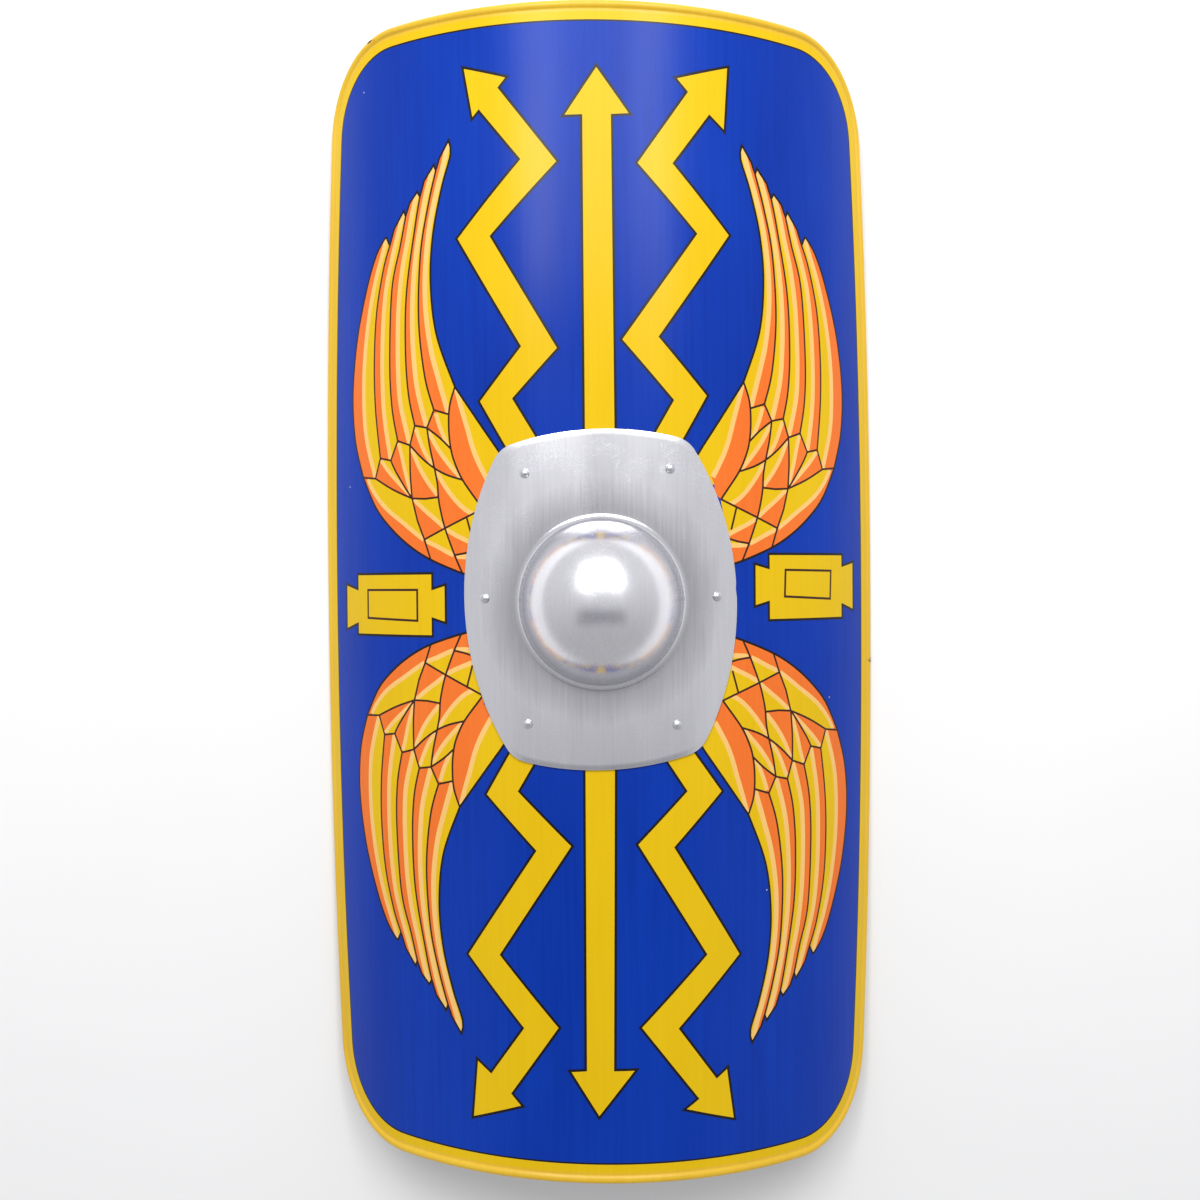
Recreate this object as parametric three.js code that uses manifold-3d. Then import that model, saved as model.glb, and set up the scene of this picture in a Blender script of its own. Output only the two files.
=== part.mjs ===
// A Roman legionary's curved shield (scutum) in painted sheet steel.
//
// Millimetres. The shield lies on its two long edges with the painted front up:
// +X across the curve, +Y towards the top edge, +Z up, out of the front.
// The origin is on the floor, midway between the edges.
//
// The board is a piece of a cylinder whose axis runs along Y. Places on it are
// given as (u, v, h): u measured round the curve from the middle, v along the
// height and h out from the painted face.

import * as THREE from 'three';
import { mergeVertices } from 'three/addons/utils/BufferGeometryUtils.js';
import Module from 'manifold-3d';

const wasm = await Module();
wasm.setup();

// ---------------------------------------------------------------- sizes

const CLEARANCE = 0.4; // left between two pieces that touch

// Board: one steel sheet, its edge rolled over a wire all the way round.
const CURVE_R = 350; // radius of the painted face
const SHEET_T = 1.2;
const BOARD = {
  halfU: 313, // half of the width, measured round the curve
  halfV: 534.5, // half of the height, along the middle
  sideBow: 26, // how far a long edge bulges over the whole height
  endBow: 1, // how far the top and bottom edges bulge
  skew: 0.016, // rise of both ends towards the left, per millimetre: they are cut out of square
  cornerR: 95,
  sideSteps: 6,
  cornerSteps: 8,
  endSteps: 12,
};
const BEAD_R = 4.25; // rolled edge
const BEAD_DROP = 1.5; // the roll's centre lies this far behind the sheet's middle
const BEAD_SIDES = 12;
const REST_CUT = 1.2; // depth of the flat under each long edge, which the shield lies on

// Boss: a plate bent to the board, with a hollow dome for the fist.
const BOSS_T = 1.6;
const BOSS_U = 3; // the plate sits a little off the board's centre
const BOSS_V = -3;
const BOSS_TURN = 0.035; // the plate is riveted on a little askew, in radians
const PLATE = {
  halfU: 127.5,
  halfV: 153.8,
  sideBow: 50,
  endBow: 28,
  cornerR: 28,
  sideSteps: 4,
  cornerSteps: 3,
  endSteps: 6,
};
const DOME_U = 4; // the dome is pressed a little off the plate's centre
const DOME_V = -5;
const DOME_R = 74.6; // the dome's radius where it would meet a flat plate
const DOME_H = 66; // the dome's height over the plate
const FLARE_R = 7; // round of the hollow corner between dome and plate
const DOME_STEPS = 8;
const FLARE_STEPS = 3;
const PLATE_STEPS = 4;

// Hand opening through the board, behind the dome.
const OPENING_R = 62;
const OPENING_SIDES = 48;

// Six rivets with domed heads. The middle pair also holds the grip.
const HEAD_R = 4.5;
const HEAD_H = 3;
const SHANK_R = 2;
const TAIL_R = 3.6; // the end hammered over at the back
const TAIL_H = 1.4;
const RIVET_SIDES = 12;
const RIVETS = [
  { name: 'rivet_top_left', u: -65, v: 112 },
  { name: 'rivet_top_right', u: 67, v: 115 },
  { name: 'rivet_middle_left', u: -104, v: -1, throughGrip: true },
  { name: 'rivet_middle_right', u: 111, v: -1, throughGrip: true },
  { name: 'rivet_bottom_left', u: -64, v: -115 },
  { name: 'rivet_bottom_right', u: 72, v: -117 },
];

// Grip: a wooden bar across the opening, thinned at both ends.
const GRIP_V = -1;
const GRIP_PAD_T = 8; // thickness at the rivets
const GRIP_BAR_T = 22;
const GRIP_PAD_W = 26; // size along the shield's height
const GRIP_BAR_W = 30;
const GRIP_END_U = 124;
const GRIP_PAD_U = 92; // the ends lie on the board from here outwards
const GRIP_BAR_U = 72; // full thickness within this
const GRIP_ROUND = 6; // corner rounding of the bar

const TURN = 2 * Math.PI;

// ---------------------------------------------------------------- outline

// Points of a barrel shape with bowed sides and ends and rounded corners, in
// order round it, drawn in by inset. Each side is an arc through its middle.
function barrelOutline(shape, inset = 0) {
  const sideR = (shape.halfV ** 2 + shape.sideBow ** 2) / (2 * shape.sideBow);
  const endR = (shape.halfU ** 2 + shape.endBow ** 2) / (2 * shape.endBow);
  const sideCentre = new THREE.Vector2(shape.halfU - sideR, 0);
  const endCentre = new THREE.Vector2(0, shape.halfV - endR);
  const corner = innerTangentCentre(sideCentre, sideR, endCentre, endR, shape.cornerR);
  const sideEnd = corner.clone().sub(sideCentre).angle();
  const endStart = corner.clone().sub(endCentre).angle();
  const halfStep = sideEnd / (2 * shape.sideSteps - 1);

  const quarter = [
    ...arcPoints(sideCentre, sideR - inset, halfStep, sideEnd, shape.sideSteps - 1),
    ...arcPoints(corner, shape.cornerR - inset, sideEnd, endStart, shape.cornerSteps).slice(1),
    ...arcPoints(endCentre, endR - inset, endStart, Math.PI / 2, shape.endSteps).slice(1),
  ];
  const left = quarter.slice(0, -1).reverse().map((p) => new THREE.Vector2(-p.x, p.y));
  const upper = [...quarter, ...left];
  const lower = upper.map((p) => new THREE.Vector2(-p.x, -p.y));
  return [...upper, ...lower];
}

// Centre of the circle of radius r that touches two larger circles from inside,
// on the upper right of both.
function innerTangentCentre(centreA, radiusA, centreB, radiusB, r) {
  const reachA = radiusA - r;
  const reachB = radiusB - r;
  const between = centreB.clone().sub(centreA);
  const gap = between.length();
  const along = (reachA ** 2 - reachB ** 2 + gap ** 2) / (2 * gap);
  const aside = Math.sqrt(reachA ** 2 - along ** 2);
  const unit = between.divideScalar(gap);
  const foot = centreA.clone().addScaledVector(unit, along);
  const sideways = new THREE.Vector2(-unit.y, unit.x);
  const picks = [aside, -aside].map((d) => foot.clone().addScaledVector(sideways, d));
  return picks.find((p) => p.x > 0 && p.y > 0);
}

function arcPoints(centre, radius, from, to, steps) {
  return Array.from({ length: steps + 1 }, (_, i) => {
    const angle = from + ((to - from) * i) / steps;
    return new THREE.Vector2(Math.cos(angle), Math.sin(angle)).multiplyScalar(radius).add(centre);
  });
}

// ---------------------------------------------------------------- the curved face

// Height of the painted face's middle over the floor, so that the flats under
// the rolled edge lie on it.
const BEAD_PATH_H = -(SHEET_T / 2 + BEAD_DROP);
const BEAD_LOWEST =
  (CURVE_R + BEAD_PATH_H) * Math.cos((BOARD.halfU - BEAD_R) / CURVE_R) - CURVE_R - BEAD_R;
const CROWN_Z = -(BEAD_LOWEST + REST_CUT);

function onBoard(u, v, h) {
  const angle = u / CURVE_R;
  const reach = CURVE_R + h;
  return new THREE.Vector3(reach * Math.sin(angle), v, reach * Math.cos(angle) - CURVE_R + CROWN_Z);
}

function normalAt(u) {
  return new THREE.Vector3(Math.sin(u / CURVE_R), 0, Math.cos(u / CURVE_R));
}

// A frame standing on the board: its Z points out of the painted face.
function standingAt(u, v, h) {
  const out = normalAt(u);
  const up = new THREE.Vector3(0, 1, 0);
  const across = new THREE.Vector3().crossVectors(up, out);
  return new THREE.Matrix4().makeBasis(across, up, out).setPosition(onBoard(u, v, h));
}

// ---------------------------------------------------------------- solids

// Skins a row of rings that have equal numbers of points. The row closes on
// itself, or ends in flat caps. A ring may shrink to one point.
function skinGeometry(rings, closed = false) {
  const count = rings[0].length;
  const index = [];
  const rows = closed ? rings.length : rings.length - 1;
  for (let row = 0; row < rows; row += 1) {
    const here = row * count;
    const next = ((row + 1) % rings.length) * count;
    for (let i = 0; i < count; i += 1) {
      const j = (i + 1) % count;
      index.push(here + i, here + j, next + j);
      index.push(here + i, next + j, next + i);
    }
  }
  if (!closed) {
    const last = (rings.length - 1) * count;
    for (let i = 1; i < count - 1; i += 1) {
      index.push(0, i + 1, i);
      index.push(last, last + i, last + i + 1);
    }
  }
  const geometry = new THREE.BufferGeometry();
  const positions = rings.flat().flatMap((p) => p.toArray());
  geometry.setAttribute('position', new THREE.Float32BufferAttribute(positions, 3));
  geometry.setIndex(index);
  return geometry;
}

// Six times the volume inside a closed set of triangles, negative if inside out.
function signedVolume(position, triangles) {
  const [a, b, c] = [new THREE.Vector3(), new THREE.Vector3(), new THREE.Vector3()];
  let sum = 0;
  for (const [i, j, k] of triangles) {
    a.fromBufferAttribute(position, i);
    b.fromBufferAttribute(position, j);
    c.fromBufferAttribute(position, k);
    sum += a.dot(b.cross(c));
  }
  return sum;
}

function toSolid(geometry) {
  const bare = geometry.clone();
  bare.deleteAttribute('normal');
  bare.deleteAttribute('uv');
  const merged = mergeVertices(bare, 1e-4);
  const index = merged.index.array;
  let triangles = [];
  for (let i = 0; i < index.length; i += 3) {
    const [a, b, c] = [index[i], index[i + 1], index[i + 2]];
    if (a !== b && b !== c && c !== a) triangles.push([a, b, c]);
  }
  if (signedVolume(merged.attributes.position, triangles) < 0) {
    triangles = triangles.map(([a, b, c]) => [a, c, b]);
  }
  const mesh = new wasm.Mesh({
    numProp: 3,
    vertProperties: new Float32Array(merged.attributes.position.array),
    triVerts: new Uint32Array(triangles.flat()),
  });
  return new wasm.Manifold(mesh);
}

function toGeometry(solid) {
  const mesh = solid.getMesh();
  const geometry = new THREE.BufferGeometry();
  geometry.setAttribute('position', new THREE.BufferAttribute(mesh.vertProperties, 3));
  geometry.setIndex(new THREE.BufferAttribute(mesh.triVerts, 1));
  geometry.computeVertexNormals();
  return geometry;
}

// A cylinder along the local Z axis, from z = low to z = high.
function rodGeometry(radius, low, high, sides) {
  const geometry = new THREE.CylinderGeometry(radius, radius, high - low, sides);
  return geometry.rotateX(Math.PI / 2).translate(0, 0, (low + high) / 2);
}

function rivetHole(rivet) {
  const reach = 20;
  const hole = rodGeometry(SHANK_R + CLEARANCE, -reach, reach, RIVET_SIDES);
  return toSolid(hole.applyMatrix4(standingAt(rivet.u, rivet.v, 0)));
}

// ---------------------------------------------------------------- board

// Place on the board with its ends out of square.
function onSkewedBoard(u, v, h) {
  return onBoard(u, v - BOARD.skew * u, h);
}

function sheetSolid() {
  const outline = barrelOutline(BOARD, BEAD_R);
  const upperHalf = outline.slice(0, outline.length / 2); // from the right edge to the left
  const rings = upperHalf.map(({ x, y }) => [
    onSkewedBoard(x, y, 0),
    onSkewedBoard(x, -y, 0),
    onSkewedBoard(x, -y, -SHEET_T),
    onSkewedBoard(x, y, -SHEET_T),
  ]);
  return toSolid(skinGeometry(rings));
}

function beadSolid() {
  const path = barrelOutline(BOARD, BEAD_R).map((p) => ({
    centre: onSkewedBoard(p.x, p.y, BEAD_PATH_H),
    out: normalAt(p.x),
  }));
  const rings = path.map(({ centre, out }, i) => {
    const before = path[(i + path.length - 1) % path.length].centre;
    const after = path[(i + 1) % path.length].centre;
    const along = after.clone().sub(before).normalize();
    const aside = new THREE.Vector3().crossVectors(along, out).normalize();
    const upright = new THREE.Vector3().crossVectors(aside, along);
    return Array.from({ length: BEAD_SIDES }, (_, side) => {
      const angle = (TURN * side) / BEAD_SIDES;
      return centre
        .clone()
        .addScaledVector(upright, BEAD_R * Math.cos(angle))
        .addScaledVector(aside, BEAD_R * Math.sin(angle));
    });
  });
  return toSolid(skinGeometry(rings, true));
}

function boardSolid() {
  const depth = 60;
  const opening = rodGeometry(OPENING_R, -depth, depth, OPENING_SIDES);
  opening.translate(BOSS_U, BOSS_V, CROWN_Z);
  const floor = new THREE.BoxGeometry(3 * CURVE_R, 3 * BOARD.halfV, depth);
  floor.translate(0, 0, -depth / 2);

  let board = sheetSolid().add(beadSolid());
  board = board.subtract(toSolid(opening)).subtract(toSolid(floor));
  for (const rivet of RIVETS) board = board.subtract(rivetHole(rivet));
  return board;
}

// ---------------------------------------------------------------- boss

// Radius and height of points down a dome and its flare, from the crown to the
// plate, for a skin set in by thickness t from the outer face.
function domeProfile(t) {
  const sphereR = (DOME_R ** 2 + DOME_H ** 2) / (2 * DOME_H);
  const sphereZ = DOME_H - sphereR;
  const flareOut = Math.sqrt((sphereR + FLARE_R) ** 2 - (FLARE_R - sphereZ) ** 2);
  const turn = Math.atan2(flareOut, FLARE_R - sphereZ);
  const dome = Array.from({ length: DOME_STEPS + 1 }, (_, i) => {
    const angle = (turn * i) / DOME_STEPS;
    return { r: (sphereR - t) * Math.sin(angle), h: sphereZ + (sphereR - t) * Math.cos(angle) };
  });
  const flare = Array.from({ length: FLARE_STEPS }, (_, i) => {
    const angle = turn * (1 - (i + 1) / FLARE_STEPS);
    const reach = FLARE_R + t;
    return { r: flareOut - reach * Math.sin(angle), h: FLARE_R - reach * Math.cos(angle) };
  });
  return [...dome, ...flare];
}

// The dome is round in its crown, and bends with the board towards its foot.
function onDome(r, cos, sin, h, footR) {
  const u = DOME_U + r * cos;
  const blend = THREE.MathUtils.smoothstep(r, footR * 0.4, footR);
  const bent = onBoard(u, DOME_V + r * sin, 0);
  const z = THREE.MathUtils.lerp(CROWN_Z, bent.z, blend);
  return new THREE.Vector3(THREE.MathUtils.lerp(u, bent.x, blend), bent.y, z + h);
}

// The rings of one face of the boss, from the crown to the plate's edge. The
// face lies a distance t inside the outer one.
function bossFaceRings(t) {
  const origin = new THREE.Vector2();
  const domeCentre = new THREE.Vector2(DOME_U, DOME_V);
  const edge = barrelOutline(PLATE).map((p) => {
    return p.rotateAround(origin, BOSS_TURN).add(new THREE.Vector2(BOSS_U, BOSS_V));
  });
  const lift = CLEARANCE + BOSS_T;
  const profile = domeProfile(t);
  const footR = profile[profile.length - 1].r;
  const directions = edge.map((p) => p.clone().sub(domeCentre).normalize());
  const domeRings = profile.map(({ r, h }) =>
    directions.map((d) => onDome(r, d.x, d.y, h + lift, footR)),
  );
  const plateRings = Array.from({ length: PLATE_STEPS }, (_, i) => {
    const share = (i + 1) / PLATE_STEPS;
    return edge.map((p, k) => {
      const place = directions[k].clone().multiplyScalar(footR).add(domeCentre).lerp(p, share);
      return onBoard(place.x, place.y, lift - t);
    });
  });
  return [...domeRings, ...plateRings];
}

function bossSolid() {
  const rings = [...bossFaceRings(0), ...bossFaceRings(BOSS_T).reverse()];
  let boss = toSolid(skinGeometry(rings));
  for (const rivet of RIVETS) boss = boss.subtract(rivetHole(rivet));
  return boss;
}

// ---------------------------------------------------------------- grip

// One section of the bar: a rounded rectangle across it at u, its front face
// against the board's back at the ends and straight between them.
function gripSection(u) {
  const out = Math.abs(u);
  const swell = 1 - THREE.MathUtils.smoothstep(out, GRIP_BAR_U, GRIP_PAD_U);
  const thick = THREE.MathUtils.lerp(GRIP_PAD_T, GRIP_BAR_T, swell);
  const wide = THREE.MathUtils.lerp(GRIP_PAD_W, GRIP_BAR_W, swell);
  const round = Math.min(GRIP_ROUND, thick / 3);
  const onPad = out >= GRIP_PAD_U;
  const seat = onBoard(Math.sign(u) * Math.max(out, GRIP_PAD_U), GRIP_V, -SHEET_T - CLEARANCE);
  const lean = onPad ? normalAt(u) : new THREE.Vector3(0, 0, 1);
  const front = onPad ? seat : seat.clone().setX(CURVE_R * Math.sin(u / CURVE_R));

  const corners = [
    [wide / 2 - round, -round, 0],
    [-wide / 2 + round, -round, 1],
    [-wide / 2 + round, -thick + round, 2],
    [wide / 2 - round, -thick + round, 3],
  ];
  const steps = 3;
  return corners.flatMap(([along, deep, quarter]) =>
    Array.from({ length: steps + 1 }, (_, i) => {
      const angle = (quarter + i / steps) * (TURN / 4);
      const y = along + round * Math.cos(angle);
      const z = deep + round * Math.sin(angle);
      return front.clone().add(new THREE.Vector3(0, y, 0)).addScaledVector(lean, z);
    }),
  );
}

function gripSolid() {
  const padStations = [GRIP_END_U, (GRIP_END_U + GRIP_PAD_U) / 2, GRIP_PAD_U];
  const slopeSteps = 4;
  const slopeStations = Array.from({ length: slopeSteps }, (_, i) =>
    THREE.MathUtils.lerp(GRIP_PAD_U, GRIP_BAR_U, (i + 1) / slopeSteps),
  );
  const half = [...padStations, ...slopeStations];
  const stations = [...half.map((u) => -u), ...half.reverse()];
  let grip = toSolid(skinGeometry(stations.map(gripSection)));
  for (const rivet of RIVETS.filter((r) => r.throughGrip)) grip = grip.subtract(rivetHole(rivet));
  return grip;
}

// ---------------------------------------------------------------- rivets

function rivetGeometry(rivet) {
  const seat = BOSS_T + 2 * CLEARANCE;
  const back = -SHEET_T - CLEARANCE - (rivet.throughGrip ? GRIP_PAD_T + CLEARANCE : 0);
  const headSteps = 4;
  const head = Array.from({ length: headSteps + 1 }, (_, i) => {
    const angle = ((TURN / 4) * i) / headSteps;
    return new THREE.Vector2(HEAD_R * Math.cos(angle), seat + HEAD_H * Math.sin(angle));
  });
  head[headSteps].x = 0;
  const profile = [
    new THREE.Vector2(0, back - TAIL_H),
    new THREE.Vector2(TAIL_R * 0.8, back - TAIL_H),
    new THREE.Vector2(TAIL_R, back),
    new THREE.Vector2(SHANK_R, back),
    new THREE.Vector2(SHANK_R, seat),
    ...head,
  ];
  const lathe = new THREE.LatheGeometry(profile, RIVET_SIDES).rotateX(Math.PI / 2);
  return lathe.applyMatrix4(standingAt(rivet.u, rivet.v, 0));
}

// ---------------------------------------------------------------- scene

const shield = new THREE.Group();

function addPiece(name, solid, material) {
  const mesh = new THREE.Mesh(toGeometry(solid), material);
  mesh.name = name;
  shield.add(mesh);
}

const paint = new THREE.MeshStandardMaterial({ color: 0x1f49c4, roughness: 0.35, metalness: 0.1 });
const steel = new THREE.MeshStandardMaterial({ color: 0xc6c8ce, roughness: 0.38, metalness: 1 });
const rivetSteel = new THREE.MeshStandardMaterial({ color: 0xb4b6bc, roughness: 0.3, metalness: 1 });
const wood = new THREE.MeshStandardMaterial({ color: 0x8a5a33, roughness: 0.6, metalness: 0 });

addPiece('shield_board', boardSolid(), paint);
addPiece('boss', bossSolid(), steel);
addPiece('hand_grip', gripSolid(), wood);
for (const rivet of RIVETS) addPiece(rivet.name, toSolid(rivetGeometry(rivet)), rivetSteel);

export default shield;
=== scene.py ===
"""Looks of a legionary's curved shield in painted sheet steel.

Sizes are in millimetres until a mesh is made, and meshes are in metres. A place on
the curved board is (u, v, h): u round the curve from the middle, v along the height
and h out of the painted face.
"""

import logging
import math
from dataclasses import dataclass, field
from enum import Enum

import bpy
import numpy as np
from mathutils import Matrix, Vector
from mathutils.geometry import delaunay_2d_cdt


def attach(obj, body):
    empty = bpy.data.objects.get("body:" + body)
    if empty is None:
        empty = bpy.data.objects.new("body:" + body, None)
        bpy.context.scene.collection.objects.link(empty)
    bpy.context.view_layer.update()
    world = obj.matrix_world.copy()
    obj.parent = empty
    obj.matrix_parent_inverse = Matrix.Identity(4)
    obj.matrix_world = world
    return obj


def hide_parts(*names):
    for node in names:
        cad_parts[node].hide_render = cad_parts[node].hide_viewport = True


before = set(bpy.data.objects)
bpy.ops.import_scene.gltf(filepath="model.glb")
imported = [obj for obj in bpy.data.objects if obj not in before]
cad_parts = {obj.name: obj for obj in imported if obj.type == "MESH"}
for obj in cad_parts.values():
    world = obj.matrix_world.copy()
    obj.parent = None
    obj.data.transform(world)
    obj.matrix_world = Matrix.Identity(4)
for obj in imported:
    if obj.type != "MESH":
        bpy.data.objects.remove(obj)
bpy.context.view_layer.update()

log = logging.getLogger("shield")

MM = 0.001
TURN = 2 * math.pi

Point = tuple[float, float]
Path = list[Point]
Triple = tuple[float, float, float]
Numbers = float | np.ndarray
Socket = bpy.types.NodeSocket


# ------------------------------------------------------------------ plane geometry


def lerp(a: float, b: float, share: float) -> float:
    """Returns the value that lies share of the way from a to b."""
    return a + (b - a) * share


def smoothstep(value: Numbers, low: float, high: float) -> Numbers:
    """Eases from 0 at low to 1 at high.

    Args:
        value: A number or an array.
        low: Where the result starts to rise.
        high: Where it reaches 1.

    Returns:
        A number or array like value.
    """
    share = np.clip((value - low) / (high - low), 0.0, 1.0)
    return share * share * (3 - 2 * share)


def arc(centre: Point, radius: float, start: float, end: float, steps: int) -> Path:
    """Returns steps + 1 points on an arc, with its angles in radians."""
    angles = [lerp(start, end, i / steps) for i in range(steps + 1)]
    return [(centre[0] + radius * math.cos(a), centre[1] + radius * math.sin(a)) for a in angles]


def smooth(points: Path, spacing: float = 5.0) -> Path:
    """Draws a smooth curve through points.

    Args:
        points: The places that the curve passes.
        spacing: The distance between the points of the result, about.

    Returns:
        Points on the curve, the given ones among them.
    """
    ends = [points[0], *points, points[-1]]
    curve = [points[0]]
    for p0, p1, p2, p3 in zip(ends, ends[1:], ends[2:], ends[3:]):
        steps = max(1, round(math.dist(p1, p2) / spacing))
        for i in range(1, steps + 1):
            t = i / steps
            curve.append(
                tuple(
                    0.5
                    * (
                        2 * b
                        + (c - a) * t
                        + (2 * a - 5 * b + 4 * c - d) * t * t
                        + (3 * b - a - 3 * c + d) * t**3
                    )
                    for a, b, c, d in zip(p0, p1, p2, p3)
                )
            )
    return curve


def densify(points: Path, spacing: float = 7.0) -> Path:
    """Returns the same broken line with no stretch longer than spacing."""
    line = [points[0]]
    for a, b in zip(points, points[1:]):
        steps = max(1, math.ceil(math.dist(a, b) / spacing))
        shares = [i / steps for i in range(1, steps + 1)]
        line += [(lerp(a[0], b[0], t), lerp(a[1], b[1], t)) for t in shares]
    return line


def point_along(points: Path, share: float) -> Point:
    """Returns the point a share of the way along a broken line."""
    lengths = [math.dist(a, b) for a, b in zip(points, points[1:])]
    left = share * sum(lengths)
    for a, b, length in zip(points, points[1:], lengths):
        if left <= length:
            return (lerp(a[0], b[0], left / length), lerp(a[1], b[1], left / length))
        left -= length
    return points[-1]


@dataclass(frozen=True)
class Barrel:
    """A barrel shape with bowed sides and ends and rounded corners."""

    half_u: float
    half_v: float
    side_bow: float
    end_bow: float
    corner_r: float
    side_steps: int
    corner_steps: int
    end_steps: int
    skew: float = 0.0

    def outline(self, inset: float = 0.0) -> Path:
        """Gives the outline drawn in by inset.

        Args:
            inset: Distance inwards from the outline.

        Returns:
            Points in order round it, anticlockwise from the right.
        """
        side_r = (self.half_v**2 + self.side_bow**2) / (2 * self.side_bow)
        end_r = (self.half_u**2 + self.end_bow**2) / (2 * self.end_bow)
        side = Vector((self.half_u - side_r, 0))
        end = Vector((0, self.half_v - end_r))
        corner = self._corner_centre(side, side_r, end, end_r)
        side_end = math.atan2(corner.y - side.y, corner.x - side.x)
        end_start = math.atan2(corner.y - end.y, corner.x - end.x)
        half_step = side_end / (2 * self.side_steps - 1)
        quarter = [
            *arc(side, side_r - inset, half_step, side_end, self.side_steps - 1),
            *arc(corner, self.corner_r - inset, side_end, end_start, self.corner_steps)[1:],
            *arc(end, end_r - inset, end_start, TURN / 4, self.end_steps)[1:],
        ]
        upper = quarter + [(-x, y) for x, y in reversed(quarter[:-1])]
        square = upper + [(-x, -y) for x, y in upper]
        return [(x, y - self.skew * x) for x, y in square]

    def _corner_centre(self, side: Vector, side_r: float, end: Vector, end_r: float) -> Vector:
        """Returns the centre of the corner circle that touches both large circles inside."""
        reach_side, reach_end = side_r - self.corner_r, end_r - self.corner_r
        between = end - side
        gap = between.length
        along = (reach_side**2 - reach_end**2 + gap**2) / (2 * gap)
        aside = math.sqrt(reach_side**2 - along**2)
        unit = between / gap
        picks = [side + unit * along + Vector((-unit.y, unit.x)) * d for d in (aside, -aside)]
        return next(p for p in picks if p.x > 0 and p.y > 0)


def ribbon(path: Path, width: float, closed: bool = False) -> list[Path]:
    """Widens a line to a ribbon with mitred corners.

    Args:
        path: The middle line.
        width: The ribbon's width.
        closed: Whether the line returns to its start.

    Returns:
        The ribbon's pieces, each four points.
    """
    line = [Vector(p) for p in path]
    count = len(line)
    left, right = [], []
    for i, here in enumerate(line):
        before = line[(i - 1) % count] if closed or i > 0 else None
        after = line[(i + 1) % count] if closed or i < count - 1 else None
        into = (here - before).normalized() if before is not None else (after - here).normalized()
        out = (after - here).normalized() if after is not None else into
        across = Vector((-into.y - out.y, into.x + out.x))
        across = across.normalized() if across.length > 1e-3 else Vector((-into.y, into.x))
        stretch = min(1 / max(across.dot(Vector((-into.y, into.x))), 0.1), 2.2)
        left.append(here + across * (width / 2 * stretch))
        right.append(here - across * (width / 2 * stretch))
    steps = count if closed else count - 1
    pairs = [(i, (i + 1) % count) for i in range(steps)]
    return [[tuple(left[i]), tuple(right[i]), tuple(right[j]), tuple(left[j])] for i, j in pairs]


def inside(points: np.ndarray, polygon: Path) -> np.ndarray:
    """Tells which points lie in a polygon.

    Args:
        points: Rows of (u, v).
        polygon: The polygon's corners.

    Returns:
        One truth value a row.
    """
    corners = np.array(polygon)
    low, high = corners.min(0), corners.max(0)
    result = np.zeros(len(points), bool)
    near = np.flatnonzero(((points >= low) & (points <= high)).all(1))
    if not len(near):
        return result
    x, y = points[near].T
    hits = np.zeros(len(near), bool)
    for (ax, ay), (bx, by) in zip(corners, np.roll(corners, -1, 0)):
        if ay != by:
            hits ^= ((ay > y) != (by > y)) & (x < (bx - ax) * (y - ay) / (by - ay) + ax)
    result[near] = hits
    return result


def left_of(points: np.ndarray, line: Path) -> np.ndarray:
    """Tells which points lie on the left hand of a broken line, followed from its start."""
    nearest = np.full(len(points), np.inf)
    side = np.zeros(len(points), bool)
    for a, b in zip(np.array(line), np.array(line[1:])):
        along = b - a
        share = np.clip((points - a) @ along / (along @ along), 0, 1)
        gap = points - a - share[:, None] * along
        distance = (gap**2).sum(1)
        turn = along[0] * (points[:, 1] - a[1]) - along[1] * (points[:, 0] - a[0])
        closer = distance < nearest
        nearest[closer] = distance[closer]
        side[closer] = turn[closer] > 0
    return side


# ------------------------------------------------------------------ painted design


class Ink(Enum):
    """The paints of the design, in the order of the board's materials."""

    BLUE = 0
    YELLOW = 1
    ORANGE = 2
    CREAM = 3
    BLACK = 4
    BROWN = 5


@dataclass
class Patch:
    """A filled area of one paint. A stripe splits it: shade on its left hand, glint along it."""

    outline: Path
    ink: Ink
    stripe: Path | None = None
    stripe_width: float = 4.0
    orange_left: bool = True


@dataclass
class Stroke:
    """A painted line."""

    path: Path
    width: float
    ink: Ink
    closed: bool = False


@dataclass
class Design:
    """Everything that is painted on the front, in the order of painting."""

    patches: list[Patch] = field(default_factory=list)
    strokes: list[Stroke] = field(default_factory=list)

    def shape(self, outline: Path, ink: Ink, line_width: float) -> None:
        """Adds a filled shape with a black outline."""
        ring = densify([*outline, outline[0]])[:-1]
        self.patches.append(Patch(ring, ink))
        self.strokes.append(Stroke(ring, line_width, Ink.BLACK, True))

    def borders(self) -> list[Path]:
        """Returns every line where one paint meets another, as closed rings."""
        rings = [p for s in self.strokes for p in ribbon(s.path, s.width, s.closed)]
        for patch in self.patches:
            if patch.stripe is None:
                rings.append(patch.outline)
            else:
                rings += ribbon(patch.stripe, patch.stripe_width)
        return rings

    def ink_at(self, points: np.ndarray) -> np.ndarray:
        """Finds the paint at each place.

        Args:
            points: Rows of (u, v).

        Returns:
            The value of one Ink a row.
        """
        inks = np.full(len(points), Ink.BLUE.value)
        for patch in self.patches:
            held = inside(points, patch.outline)
            inks[held] = patch.ink.value
            if patch.stripe is None:
                continue
            rows = np.flatnonzero(held)
            shade = left_of(points[rows], patch.stripe) == patch.orange_left
            inks[rows[shade]] = Ink.ORANGE.value
            for piece in ribbon(patch.stripe, patch.stripe_width):
                inks[rows[inside(points[rows], piece)]] = Ink.CREAM.value
        for stroke in self.strokes:
            for piece in ribbon(stroke.path, stroke.width, stroke.closed):
                inks[inside(points, piece)] = stroke.ink.value
        return inks


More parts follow.
